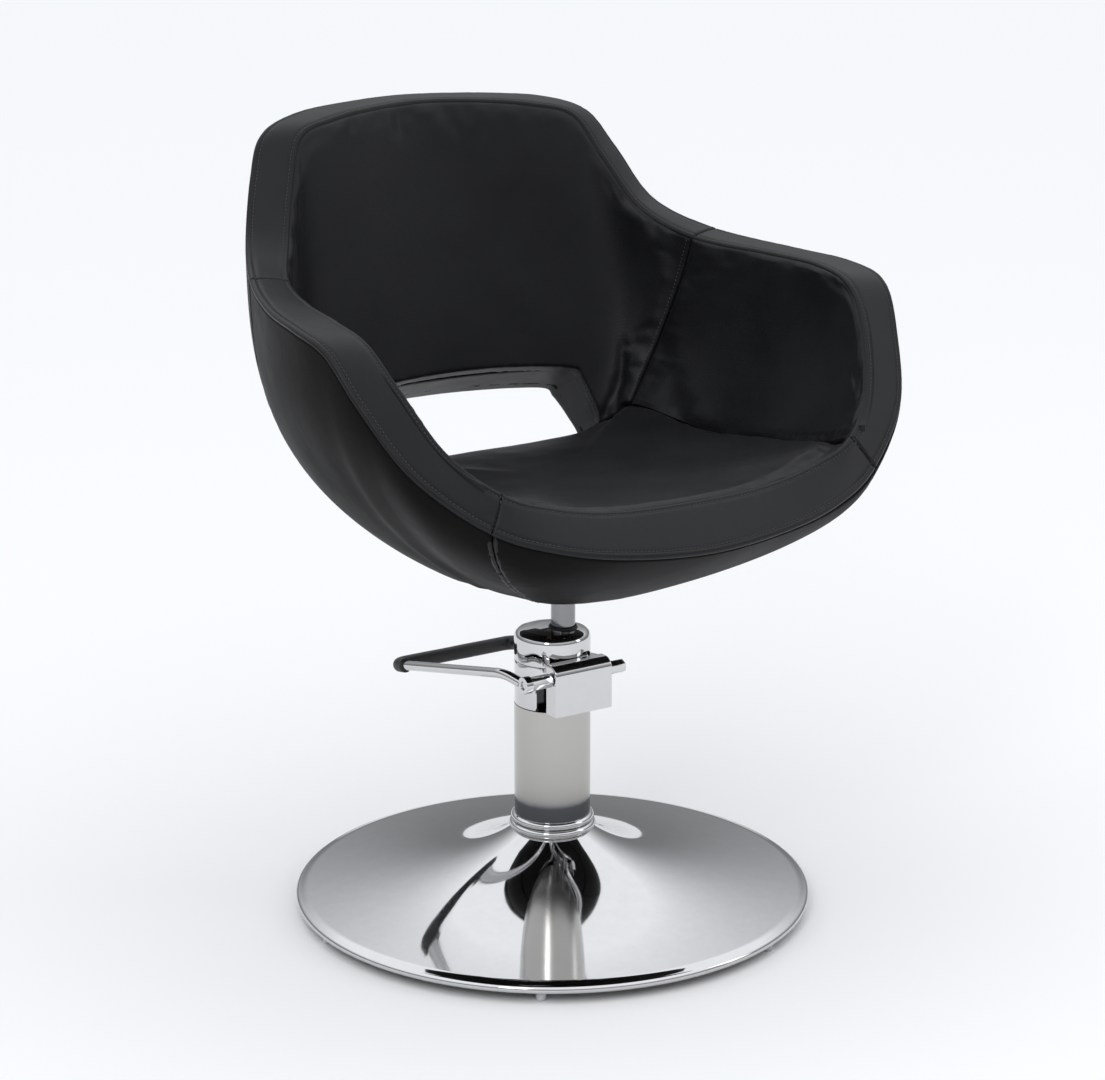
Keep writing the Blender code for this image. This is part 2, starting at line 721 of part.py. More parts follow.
def make_lever_bar():
    """One bent rod: the left arm starts outside the cover, the right arm inside it."""
    room = GAP + 0.0004
    left = [
        (EYE_LEFT, 0.0112 + room, 0.0),
        (EYE_LEFT - 0.0060, 0.0350, 0.0056),
        pedal_corner(-1),
    ]
    right = [
        pedal_corner(1),
        (0.0680, 0.0480, -0.0080),
        (EYE_RIGHT, 0.0130, 0.0),
        (EYE_RIGHT, 0.0086 + room, 0.0),
    ]
    path = rounded_path(left + right, 0.0160)
    rod("lever_bar", path, BAR_R, "chrome", parent=LEVER)
    ends = []
    for arm in (left[-2:], right[1::-1]):
        before, corner = (np.array(place) for place in arm)
        ends.append(corner + (before - corner) / np.linalg.norm(before - corner) * 0.0240)
    path = rounded_path([ends[0], left[-1], right[0], ends[1]], 0.0160)
    sleeve = as_mesh(rod("pedal_sleeve", path, 0.0083, "rubber", parent=LEVER, caps=False))
    solid = sleeve.modifiers.new("thickness", "SOLIDIFY")
    solid.thickness = 0.0083 - BAR_R - 0.00035
    solid.offset = -1.0
    solid.use_even_offset = True


# --- Tub -----------------------------------------------------------------------------------------


def window_outline(grow, count=4):
    """The window's outline, closed, as pairs of points on the inner and the outer face."""
    half = []
    for index in range((len(WINDOW) - 1) * count + 1):
        t = index / count
        inner = through([row[0] for row in WINDOW], t)
        outer = through([row[1] for row in WINDOW], t)
        half.append((inner, outer))
    other = [(inner * (-1, 1, 1), outer * (-1, 1, 1)) for inner, outer in reversed(half[1:-1])]
    ring = half + other
    grown = []
    for index, (inner, outer) in enumerate(ring):
        before = ring[index - 1]
        after = ring[(index + 1) % len(ring)]
        through_wall = outer - inner
        sides = []
        for face in (0, 1):
            along = after[face] - before[face]
            out = np.cross(through_wall, along)
            sides.append((inner, outer)[face] + out / np.linalg.norm(out) * grow)
        grown.append(tuple(sides))
    return grown


def ring_tube(name, sections):
    """A closed ring lofted through four-sided sections."""
    bm = bmesh.new()
    rings = [[bm.verts.new(place) for place in section] for section in sections]
    for index, ring in enumerate(rings):
        following = rings[(index + 1) % len(rings)]
        for side in range(4):
            after = (side + 1) % 4
            bm.faces.new((ring[side], ring[after], following[after], following[side]))
    return mesh_from(bm, name)


def make_window():
    """The liner of the window, and the cutter that opens the layers round it."""
    inner_line = window_outline(0.0)
    outer_line = window_outline(LINER_T)
    sections = [(a[0], a[1], b[1], b[0]) for a, b in zip(inner_line, outer_line)]
    add_object("window_liner", ring_tube("window_liner", sections), "leather", parent=TUB)
    bm = bmesh.new()
    ends = ([], [])
    for inner, outer in window_outline(LINER_T + 0.0012):
        ends[0].append(bm.verts.new(inner + (inner - outer) * 0.8))
        ends[1].append(bm.verts.new(outer + (outer - inner) * 0.8))
    bm.faces.new(ends[0])
    bm.faces.new(ends[1])
    count = len(ends[0])
    for index in range(count):
        after = (index + 1) % count
        bm.faces.new((ends[0][index], ends[0][after], ends[1][after], ends[1][index]))
    bmesh.ops.triangulate(bm, faces=[face for face in bm.faces if len(face.verts) > 4])
    return add_cutter("window_cutter", mesh_from(bm, "window_cutter"), parent=TUB)


def down_shell(depth, distance):
    """A place on the outer shell, with row 0 at a distance under the rim."""
    surface = sunk(outer_shell, depth)

    def place(way, row):
        start = share_of_height(outer_shell, way, distance)
        return surface(way, start + (1 - start) * row)

    return place


def make_outer_panels(cutter):
    place = down_shell(0.0, BAND_T + 0.0032)
    rows = list(UNDERSIDE_FROM * np.linspace(0, 1, 7) ** 1.2)
    rows[-1] -= 0.004
    margin = 0.035
    back = spread(BACK_SEAM + margin, AROUND - BACK_SEAM - margin, 20)
    cut(panel("outer_back_panel", place, back, rows, SKIN_T, "leather", True), cutter)
    right = spread(FRONT_SEAM + margin, BACK_SEAM - margin, 12)
    left = spread(AROUND - BACK_SEAM + margin, AROUND - FRONT_SEAM - margin, 12)
    panel("outer_arm_panel_right", place, left, rows, SKIN_T, "leather", True)
    panel("outer_arm_panel_left", place, right, rows, SKIN_T, "leather", True)
    front = spread(-FRONT_SEAM + margin, FRONT_SEAM - margin, 12)
    panel("outer_front_panel", place, front, rows, SKIN_T, "leather", True)
    low_rows = spread(UNDERSIDE_FROM + 0.004, POLE_HOLE, 3)
    around = spread(0, AROUND, 36)
    panel("underside_panel", place, around, low_rows, SKIN_T, "leather", True)


def make_frame(cutter):
    place = down_shell(SKIN_T + 0.0046, BAND_T + 0.0090)
    rows = list(POLE_HOLE * np.linspace(0, 1, 9))
    frame = panel("tub_frame", place, spread(0, AROUND, 40), rows, FRAME_T, "wood", True)
    cut(frame, cutter)


def wall_rows(count):
    return [0.0] + spread(0.12, 1.0, count)


def down_wall(end, distance):
    """A place on the inner leather, from a distance under the rim to just above the seat."""

    def place(way, row):
        start = share_of_height(inner_wall, way, distance)
        return inner_wall(way, start + (end - start) * row)

    return place


def make_inner_pads(cutter):
    margin = 0.03
    back = spread(BACK_SEAM + margin, AROUND - BACK_SEAM - margin, 24)
    pad = panel("inner_back_pad", down_wall(0.955, 0.0090), back, wall_rows(9), PAD_T, "leather", False)
    cut(pad, cutter)
    right = spread(FRONT_SEAM + 0.45, BACK_SEAM - margin, 12)
    left = spread(AROUND - BACK_SEAM + margin, AROUND - FRONT_SEAM - 0.45, 12)
    panel("inner_arm_pad_left", down_wall(0.96, 0.0135), right, wall_rows(6), PAD_T, "leather", False)
    panel("inner_arm_pad_right", down_wall(0.96, 0.0135), left, wall_rows(6), PAD_T, "leather", False)


def make_rim():
    across = spread(0.0, 1.0, 2)
    margin = 0.012
    spans = {
        "rim_back": (BACK_SEAM + margin, AROUND - BACK_SEAM - margin, 36),
        "rim_arm_left": (FRONT_SEAM + margin, BACK_SEAM - margin, 20),
        "rim_arm_right": (AROUND - BACK_SEAM + margin, AROUND - FRONT_SEAM - margin, 20),
        "rim_front": (-FRONT_SEAM + margin, FRONT_SEAM - margin, 20),
    }
    for name, (low, high, count) in spans.items():
        panel(name, band, spread(low, high, count), across, BAND_T, "leather", False)


def make_seat():
    """The seat cushion: a loft between its crowned top and its bottom on the board and the bowl."""
    floor = BOARD_BOTTOM + BOARD_T + GAP
    inset = 0.978

    def bottom(way, out):
        x, y, z = seat_top(way, out * 0.90)
        return np.array((x, y, min(max(floor, bowl_height(x, y) + 0.036), z - 0.008)))

    def top(way, out):
        return seat_top(way, out * inset)

    bm = bmesh.new()
    columns = spread(0, AROUND, 40)
    rows = [0.0, 0.4, 0.7, 0.88, 1.0]
    for surface in (top, bottom):
        bm.from_mesh(sheet_mesh("seat_sheet", surface, columns, rows))
    edges = [edge for edge in bm.edges if len(edge.link_faces) == 1]
    bmesh.ops.bridge_loops(bm, edges=edges)
    bmesh.ops.dissolve_degenerate(bm, dist=WELD, edges=bm.edges[:])
    mesh = mesh_from(bm, "seat_cushion")
    mesh.shade_smooth()
    add_object("seat_cushion", mesh, "leather", parent=TUB)


def make_seat_mount():
    """The board in the tub, and the plate and taper socket that the ram goes into."""
    curve = bpy.data.curves.new("seat_board", "CURVE")
    curve.dimensions = "2D"
    curve.fill_mode = "BOTH"
    curve.extrude = BOARD_T / 2
    spline = curve.splines.new("POLY")
    count = 40
    spline.points.add(count - 1)
    for index, point in enumerate(spline.points):
        angle = math.tau * index / count
        point.co = (0.150 * math.cos(angle), 0.140 * math.sin(angle), 0.0, 1.0)
    spline.use_cyclic_u = True
    add_object("seat_board", curve, "wood", (0.0, 0.0, BOARD_BOTTOM + BOARD_T / 2), TUB)
    top = BOARD_BOTTOM - GAP
    plate = box_mesh("seat_plate", (-0.0700, -0.0700, top - 0.0050), (0.0700, 0.0700, top))
    add_object("seat_plate", plate, "steel", parent=TUB)
    socket = (
        (0.0200, top - 0.0054),
        (0.0200, 0.3880),
        (0.0147, 0.3880),
        (0.0122, top - 0.0054),
    )
    turned("taper_socket", socket, "steel", 32, parent=TUB)
    for index, (x, y) in enumerate(((-1, -1), (1, -1), (1, 1), (-1, 1))):
        name = f"plate_bolt_{index + 1}"
        low = top - 0.0054 - 0.0055
        bolt = cylinder_mesh(name, 0.0075, low, top - 0.0054, 6)
        add_object(name, bolt, "steel", (0.055 * x, 0.055 * y, 0.0), TUB)


def make_piping():
    """A cord in each seam at the front corners, from the rim to under the seat."""
    for name, way in (("front_piping_left", FRONT_SEAM), ("front_piping_right", -FRONT_SEAM)):
        surface = sunk(outer_shell, -0.0018)
        start = share_of_height(outer_shell, way, BAND_T + 0.0040)
        points = [surface(way, down) for down in np.linspace(start, UNDERSIDE_FROM - 0.02, 18)]
        rod(name, points, 0.0014, "leather", parent=TUB)


LOOKS = {
    "chrome": ((0.80, 0.80, 0.81), 0.06, 1.0),
    "satin_steel": ((0.62, 0.61, 0.59), 0.28, 1.0),
    "polished_steel": ((0.70, 0.70, 0.70), 0.15, 1.0),
    "steel": ((0.45, 0.45, 0.46), 0.40, 1.0),
    "bronze": ((0.55, 0.40, 0.22), 0.35, 1.0),
    "rubber": ((0.015, 0.015, 0.016), 0.60, 0.0),
    "plastic": ((0.55, 0.55, 0.56), 0.45, 0.0),
    "wood": ((0.52, 0.38, 0.22), 0.65, 0.0),
    "leather": ((0.022, 0.023, 0.026), 0.42, 0.0),
}

clear_scene()
CHAIR = make_collection("styling_chair")
CUTTERS = make_collection("cutters")
BASE = add_empty("base_axis", (0.0, 0.0, GROUND_CLEARANCE))
TUB = add_empty("tub_axis", (RAM_X, RAM_Y, 0.0), BASE)
LEVER = add_empty("lever_axis", (0.0, PIVOT_Y, PIVOT_Z), BASE)

make_dome()
make_feet()
make_base_fittings()
make_cylinder()
make_barrel()
make_head()
trim_head()
make_cap()
make_ram()
make_plunger()
make_cover()
make_pin()
make_lugs()
make_cam()
make_lever_bar()
window_cutter = make_window()
make_outer_panels(window_cutter)
make_frame(window_cutter)
make_inner_pads(window_cutter)
make_rim()
make_seat()
make_seat_mount()
make_piping()
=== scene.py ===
"""Looks for the salon styling chair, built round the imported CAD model.

Metres, +Z up. The origin is the centre of the round base on the floor, and the seat faces -Y.
"""

import json
import math

import bmesh
import bpy
import numpy as np
from mathutils import Matrix, Vector, noise
from mathutils.bvhtree import BVHTree


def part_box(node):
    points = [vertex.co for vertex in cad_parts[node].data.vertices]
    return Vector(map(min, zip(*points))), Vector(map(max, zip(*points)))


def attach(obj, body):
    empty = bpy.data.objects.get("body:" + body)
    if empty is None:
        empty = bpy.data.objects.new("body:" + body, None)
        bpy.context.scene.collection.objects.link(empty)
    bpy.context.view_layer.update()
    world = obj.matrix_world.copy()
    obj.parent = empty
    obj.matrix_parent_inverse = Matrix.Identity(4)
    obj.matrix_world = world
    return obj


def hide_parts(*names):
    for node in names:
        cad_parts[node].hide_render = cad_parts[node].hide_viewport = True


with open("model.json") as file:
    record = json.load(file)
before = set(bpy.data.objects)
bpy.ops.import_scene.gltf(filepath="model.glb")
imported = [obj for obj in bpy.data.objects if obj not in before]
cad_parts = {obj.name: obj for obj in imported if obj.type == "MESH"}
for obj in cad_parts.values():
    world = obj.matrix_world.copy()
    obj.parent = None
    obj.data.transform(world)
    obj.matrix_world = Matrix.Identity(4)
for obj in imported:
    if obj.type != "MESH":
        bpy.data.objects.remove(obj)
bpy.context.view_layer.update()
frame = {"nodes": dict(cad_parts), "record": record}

# --- Where things are ----------------------------------------------------------------------------

RIM_BOTTOM = 0.005
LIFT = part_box("base_dome")[0].z - RIM_BOTTOM
BASE_AXIS = np.array((0.0, 0.0, LIFT))
RAM_MIDDLE = (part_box("ram")[0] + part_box("ram")[1]) / 2
TUB_AXIS = np.array((RAM_MIDDLE.x, RAM_MIDDLE.y, LIFT))
RAM_X, RAM_Y = RAM_MIDDLE.x, RAM_MIDDLE.y
PIVOT = (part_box("lever_eye_left")[0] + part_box("lever_eye_left")[1]) / 2
LEVER_AXIS = np.array((0.0, PIVOT.y, PIVOT.z))

# The tub's stations, as in the CAD: outer edge, inner edge, seat edge, from front centre to back centre
RIM = (
    ((0.000, -0.287, 0.483), (0.000, -0.241, 0.527), (0.000, -0.241, 0.527)),
    ((0.105, -0.280, 0.490), (0.098, -0.239, 0.530), (0.098, -0.239, 0.530)),
    ((0.184, -0.267, 0.505), (0.172, -0.235, 0.544), (0.172, -0.235, 0.544)),
    ((0.249, -0.243, 0.529), (0.227, -0.228, 0.565), (0.227, -0.228, 0.564)),
    ((0.315, -0.205, 0.585), (0.273, -0.196, 0.607), (0.241, -0.180, 0.548)),
    ((0.349, -0.157, 0.652), (0.301, -0.154, 0.668), (0.247, -0.130, 0.536)),
    ((0.365, -0.115, 0.705), (0.313, -0.112, 0.708), (0.250, -0.090, 0.529)),
    ((0.367, -0.055, 0.720), (0.315, -0.053, 0.722), (0.248, -0.035, 0.523)),
    ((0.350, 0.035, 0.726), (0.302, 0.030, 0.726), (0.242, 0.050, 0.515)),
    ((0.314, 0.139, 0.738), (0.272, 0.130, 0.733), (0.207, 0.162, 0.533)),
    ((0.277, 0.218, 0.768), (0.239, 0.192, 0.764), (0.197, 0.180, 0.515)),
    ((0.248, 0.259, 0.830), (0.210, 0.232, 0.823), (0.180, 0.192, 0.503)),
    ((0.222, 0.283, 0.872), (0.184, 0.256, 0.872), (0.150, 0.200, 0.494)),
    ((0.170, 0.305, 0.890), (0.135, 0.271, 0.886), (0.110, 0.208, 0.489)),
    ((0.090, 0.328, 0.896), (0.072, 0.287, 0.893), (0.060, 0.214, 0.485)),
    ((0.000, 0.337, 0.899), (0.000, 0.294, 0.896), (0.000, 0.216, 0.484)),
)
FRONT_SEAM = 3
BACK_SEAM = 9
BACK_CENTRE = 15
AROUND = 2 * BACK_CENTRE
SHAPE_AT = (0, 3, 6, 9, 12, 15)
FULLNESS = (0.56, 0.58, 0.955, 0.985, 0.985, 0.985)
SQUARENESS = (1.60, 1.60, 1.76, 1.90, 2.93, 3.05)
SWELL = (0.00, 0.22, 0.19, 0.24, 0.22, 0.08)
HOLLOW_AT = (3, 6, 9, 15)
HOLLOW = (0.002, 0.018, 0.018, 0.008)
POLE_Z = 0.3655
POLE_HOLE = 0.93
UNDERSIDE_FROM = 0.62
SEAT_CENTRE_Z = 0.5030
WINDOW = (
    ((0.000, 0.214, 0.488), (0.000, 0.260, 0.464)),
    ((0.090, 0.209, 0.490), (0.090, 0.252, 0.468)),
    ((0.170, 0.196, 0.497), (0.166, 0.236, 0.474)),
    ((0.181, 0.196, 0.506), (0.177, 0.236, 0.482)),
    ((0.176, 0.203, 0.530), (0.172, 0.252, 0.503)),
    ((0.167, 0.212, 0.558), (0.163, 0.270, 0.525)),
    ((0.155, 0.219, 0.570), (0.151, 0.278, 0.535)),
    ((0.080, 0.243, 0.571), (0.078, 0.296, 0.538)),
    ((0.000, 0.251, 0.571), (0.000, 0.302, 0.539)),
)

# --- Materials -----------------------------------------------------------------------------------


def new_material(name):
    """A material with a Principled shader, and short ways to add and join nodes."""
    material = bpy.data.materials.new(name)
    material.use_nodes = True
    nodes = material.node_tree.nodes
    links = material.node_tree.links
    shader = nodes["Principled BSDF"]

    def add(kind, settings=None, **inputs):
        node = nodes.new(kind)
        for key, value in (settings or {}).items():
            setattr(node, key, value)
        for key, value in inputs.items():
            socket = node.inputs[key.replace("_", " ")]
            if isinstance(value, bpy.types.NodeSocket):
                links.new(value, socket)
            else:
                socket.default_value = value
        return node

    def join(output, key):
        links.new(output, shader.inputs[key])

    def fixed(**values):
        for key, value in values.items():
            shader.inputs[key.replace("_", " ")].default_value = value

    return material, add, join, fixed


def placed(add, scale=(1.0, 1.0, 1.0)):
    where = add("ShaderNodeTexCoord")
    mapped = add("ShaderNodeMapping", Vector=where.outputs["Object"], Scale=scale)
    return mapped.outputs["Vector"]


def mixed(add, factor, dark, light):
    mix = add("ShaderNodeMix", {"data_type": "RGBA"})
    material = mix.id_data
    material.links.new(factor, mix.inputs["Factor"])
    mix.inputs["A"].default_value = (*dark, 1.0)
    mix.inputs["B"].default_value = (*light, 1.0)
    return mix.outputs["Result"]


def ranged(add, value, low, high, from_low=0.3, from_high=0.7):
    made = add(
        "ShaderNodeMapRange",
        Value=value,
        From_Min=from_low,
        From_Max=from_high,
        To_Min=low,
        To_Max=high,
    )
    return made.outputs["Result"]


def bumped(add, height, distance, strength=1.0, under=None):
    bump = add("ShaderNodeBump", Height=height, Distance=distance, Strength=strength)
    if under is not None:
        bump.id_data.links.new(under, bump.inputs["Normal"])
    return bump.outputs["Normal"]


def leather(name, dark, light, rough=(0.36, 0.50), ior=1.42, shine=0.30, sheen=0.03):
    """Black upholstery leather: pores and a fine pebble grain, soft creases and uneven sheen."""
    material, add, join, fixed = new_material(name)
    where = placed(add)
    broad = add("ShaderNodeTexNoise", Vector=where, Scale=7.0, Detail=4.0, Roughness=0.6)
    pebble = add("ShaderNodeTexVoronoi", {"feature": "SMOOTH_F1"}, Vector=where, Scale=620.0)
    fine = add("ShaderNodeTexNoise", Vector=where, Scale=1400.0, Detail=3.0)
    crease = add("ShaderNodeTexNoise", Vector=where, Scale=38.0, Detail=5.0, Distortion=1.2)
    join(mixed(add, ranged(add, broad.outputs["Fac"], 0.0, 1.0), dark, light), "Base Color")
    join(ranged(add, broad.outputs["Fac"], *rough), "Roughness")
    soft = bumped(add, crease.outputs["Fac"], 0.0007, 0.30)
    grain = bumped(add, pebble.outputs["Distance"], 0.00022, 0.40, soft)
    join(bumped(add, fine.outputs["Fac"], 0.00010, 0.30, grain), "Normal")
    fixed(IOR=ior, Specular_IOR_Level=shine, Sheen_Weight=sheen, Sheen_Roughness=0.45)
    return material


def chrome(name, colour, rough=(0.030, 0.060)):
    """Chrome plate over pressed steel: nearly a mirror, with faint waves and wiping marks."""
    material, add, join, fixed = new_material(name)
    where = placed(add)
    waves = add("ShaderNodeTexNoise", Vector=where, Scale=9.0, Detail=2.0)
    marks = add("ShaderNodeTexNoise", Vector=where, Scale=60.0, Detail=6.0, Roughness=0.7)
    tint = tuple(c * 0.95 for c in colour)
    join(mixed(add, ranged(add, marks.outputs["Fac"], 0.0, 1.0), tint, colour), "Base Color")
    join(ranged(add, marks.outputs["Fac"], *rough), "Roughness")
    join(bumped(add, waves.outputs["Fac"], 0.0012, 0.10), "Normal")
    fixed(Metallic=1.0)
    return material


def brushed(name, colour, rough, stretch, distance=0.00005):
    """Steel with fine lines left by grinding or turning."""
    material, add, join, fixed = new_material(name)
    lines = add("ShaderNodeTexNoise", Vector=placed(add, stretch), Scale=1.0, Detail=4.0, Roughness=0.7)
    stain = add("ShaderNodeTexNoise", Vector=placed(add), Scale=25.0, Detail=3.0)
    dark = tuple(c * 0.86 for c in colour)
    join(mixed(add, ranged(add, lines.outputs["Fac"], 0.0, 1.0), dark, colour), "Base Color")
    join(ranged(add, stain.outputs["Fac"], *rough), "Roughness")
    join(bumped(add, lines.outputs["Fac"], distance, 0.5), "Normal")
    fixed(Metallic=1.0)
    return material


def tube_steel():
    """The pump's tube: satin, and polished where it stands in its collar, where its colour is also darker as a painted
    dark reflection.
    """
    material, add, join, fixed = new_material("satin_steel")
    lines = add("ShaderNodeTexNoise", Vector=placed(add, (3.0, 3.0, 900.0)), Scale=1.0, Detail=4.0, Roughness=0.7)
    cloud = add("ShaderNodeTexNoise", Vector=placed(add), Scale=18.0, Detail=4.0)
    height = add("ShaderNodeSeparateXYZ", Vector=placed(add)).outputs["Z"]
    drift = add("ShaderNodeMath", {"operation": "MULTIPLY_ADD"})
    material.node_tree.links.new(cloud.outputs["Fac"], drift.inputs[0])
    drift.inputs[1].default_value = 0.004
    material.node_tree.links.new(height, drift.inputs[2])
    # The mask is 0 low on the tube and 1 above it: low down the steel is polished, and its colour is darker as a
    # painted dark reflection.
    satin = ranged(add, drift.outputs[0], 0.0, 1.0, 0.128, 0.137)
    rough = add("ShaderNodeMath", {"operation": "MULTIPLY_ADD"})
    material.node_tree.links.new(satin, rough.inputs[0])
    rough.inputs[1].default_value = 0.19
    rough.inputs[2].default_value = 0.055
    join(rough.outputs[0], "Roughness")
    # The darker colour low on the tube is a painted dark reflection.
    join(mixed(add, satin, (0.30, 0.31, 0.33), (0.47, 0.46, 0.44)), "Base Color")
    join(bumped(add, lines.outputs["Fac"], 0.00004, 0.4), "Normal")
    fixed(Metallic=1.0)
    return material


def plain(name, dark, light, rough, scale, distance, metallic=0.0, stretch=(1.0, 1.0, 1.0)):
    """A matt surface with an uneven colour and a small relief."""
    material, add, join, fixed = new_material(name)
    where = placed(add, stretch)
    spots = add("ShaderNodeTexNoise", Vector=where, Scale=scale, Detail=5.0, Roughness=0.65)
    join(mixed(add, ranged(add, spots.outputs["Fac"], 0.0, 1.0), dark, light), "Base Color")
    join(ranged(add, spots.outputs["Fac"], *rough), "Roughness")
    join(bumped(add, spots.outputs["Fac"], distance, 0.5), "Normal")
    fixed(Metallic=metallic)
    return material


LEATHER = leather("black_leather", (0.0048, 0.0052, 0.0062), (0.0092, 0.0098, 0.0114))
# The tub's outside gets a darker copy of the leather: its darker base colour is painted shade, and its low IOR, plain
# shine and no sheen keep its grazing reflections down.
SHADED_OUTER_LEATHER = leather("black_leather_outer_painted_shade", (0.0036, 0.0036, 0.0036), (0.0068, 0.0067, 0.0064), (0.42, 0.56), 1.12, 0.5, 0.0)
PIPING = leather("black_leather_piping", (0.006, 0.006, 0.007), (0.011, 0.011, 0.012), (0.38, 0.50))
THREAD = plain("black_thread", (0.020, 0.020, 0.022), (0.050, 0.050, 0.054), (0.55, 0.75), 900.0, 0.0001)
CHROME = chrome("chrome", (0.63, 0.63, 0.635))
TUBE_STEEL = tube_steel()
RAM_STEEL = brushed("polished_steel", (0.26, 0.26, 0.27), (0.12, 0.18), (5.0, 5.0, 1200.0), 0.00003)
STEEL = plain("plain_steel", (0.32, 0.32, 0.33), (0.50, 0.50, 0.51), (0.30, 0.45), 80.0, 0.0001, 1.0)
BRONZE = plain("bronze", (0.42, 0.29, 0.14), (0.58, 0.42, 0.22), (0.28, 0.42), 60.0, 0.0001, 1.0)
RUBBER = plain("black_rubber", (0.008, 0.008, 0.009), (0.020, 0.020, 0.021), (0.40, 0.62), 240.0, 0.00025)
PLASTIC = plain("foot_plastic", (0.42, 0.42, 0.43), (0.58, 0.58, 0.59), (0.30, 0.45), 150.0, 0.0001)
PLYWOOD = plain("plywood", (0.34, 0.22, 0.11), (0.52, 0.37, 0.21), (0.55, 0.75), 14.0, 0.0003, 0.0, (1.0, 8.0, 8.0))
SLOT_LOOKS = {
    "black_leather": LEATHER,
    "chrome": CHROME,
    "satin_steel": TUBE_STEEL,
    "polished_steel": RAM_STEEL,
    "plain_steel": STEEL,
    "bronze": BRONZE,
    "black_rubber": RUBBER,
    "foot_plastic": PLASTIC,
    "plywood": PLYWOOD,
}

# --- Mesh helpers --------------------------------------------------------------------------------


def new_object(name, verts, faces, material, sharp=None):
    mesh = bpy.data.meshes.new(name)
    mesh.from_pydata([tuple(map(float, v)) for v in verts], [], [tuple(map(int, f)) for f in faces])
    mesh.validate()
    bm = bmesh.new()
    bm.from_mesh(mesh)
    bmesh.ops.remove_doubles(bm, verts=bm.verts[:], dist=1e-6)
    bm.normal_update()
    bmesh.ops.recalc_face_normals(bm, faces=bm.faces[:])
    bm.to_mesh(mesh)
    bm.free()
    mesh.shade_smooth()
    if sharp is not None:
        mesh.set_sharp_from_angle(angle=math.radians(sharp))
    obj = bpy.data.objects.new(name, mesh)
    obj.data.materials.append(material)
    bpy.context.scene.collection.objects.link(obj)
    return obj


def baked(obj):
    """The object with its modifiers applied."""
    graph = bpy.context.evaluated_depsgraph_get()
    mesh = bpy.data.meshes.new_from_object(obj.evaluated_get(graph), depsgraph=graph)
    old = obj.data
    obj.modifiers.clear()
    obj.data = mesh
    mesh.name = obj.name
    bpy.data.meshes.remove(old)
    return obj


def add_modifier(obj, kind, **settings):
    modifier = obj.modifiers.new(kind.lower(), kind)
    for key, value in settings.items():
        setattr(modifier, key, value)
    return modifier


def cut(obj, *cutters):
    """The object less the cutters, which are removed."""
    for cutter in cutters:
        add_modifier(obj, "BOOLEAN", operation="DIFFERENCE", solver="EXACT", object=cutter)
    baked(obj)
    for cutter in cutters:
        bpy.data.objects.remove(cutter, do_unlink=True)
    return obj


def finished(obj, body, slot, *nodes):
    """The piece moves with the body and stands for the nodes. The slot is not used."""
    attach(obj, body)
    if nodes:
        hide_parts(*nodes)
    return obj


def lathe(name, profile, material, axis=(0.0, 0.0, 0.0), steps=160, sharp=40, along="Z"):
    """A turned piece. The profile is radius and height; it closes on the axis or on itself."""
    axis = np.array(axis, float)
    angles = np.linspace(0, math.tau, steps, endpoint=False)
    verts = []
    for radius, height in profile:
        for angle in angles:
            place = (radius * math.cos(angle), radius * math.sin(angle), height)
            if along == "X":
                place = (place[2], place[0], place[1])
            verts.append(axis + place)
    count = len(profile)
    closed = profile[0][0] > 1e-9 or profile[-1][0] > 1e-9
    faces = []
    for ring in range(count if closed else count - 1):
        after = (ring + 1) % count
        for step in range(steps):
            ahead = (step + 1) % steps
            faces.append((ring * steps + step, ring * steps + ahead, after * steps + ahead, after * steps + step))
    return new_object(name, verts, faces, material, sharp)


def rounded(profile, radius, steps=5):
    """The profile with every corner off the axis rounded."""
    points = [np.array(point, float) for point in profile]
    made = []
    for index, corner in enumerate(points):
        before = points[index - 1]
        after = points[(index + 1) % len(points)]
        reach = min(radius, 0.45 * np.linalg.norm(before - corner), 0.45 * np.linalg.norm(after - corner))
        if corner[0] < 1e-9 or reach < 1e-6:
            made.append(tuple(corner))
            continue
        start = corner + (before - corner) / np.linalg.norm(before - corner) * reach
        end = corner + (after - corner) / np.linalg.norm(after - corner) * reach
        for step in range(steps + 1):
            t = step / steps
            made.append(tuple(start * (1 - t) ** 2 + corner * 2 * t * (1 - t) + end * t**2))
    return made


def sweep(name, path, radii, material, sides=20, closed_ends=True, squash=None):
    """A round bar along the path, with a radius at each point and flat caps on its ends."""
    path = np.array(path, float)
    radii = np.broadcast_to(np.array(radii, float), (len(path),))
    tangents = np.gradient(path, axis=0)
    tangents /= np.linalg.norm(tangents, axis=1)[:, None]
    side = np.cross(tangents[0], (0.0, 0.0, 1.0))
    if np.linalg.norm(side) < 0.1:
        side = np.cross(tangents[0], (1.0, 0.0, 0.0))
    verts = []
    for place, tangent, radius in zip(path, tangents, radii):
        side = side - tangent * np.dot(side, tangent)
        side /= np.linalg.norm(side)
        other = np.cross(tangent, side)
        for step in range(sides):
            angle = math.tau * step / sides
            verts.append(place + (side * math.cos(angle) + other * math.sin(angle)) * radius)
    faces = []
    for ring in range(len(path) - 1):
        for step in range(sides):
            ahead = (step + 1) % sides
            first, second = ring * sides, (ring + 1) * sides
            faces.append((first + step, first + ahead, second + ahead, second + step))
    if closed_ends:
        faces.append(tuple(range(sides)))
        faces.append(tuple(range((len(path) - 1) * sides, len(path) * sides)))
    return new_object(name, verts, faces, material, 50)


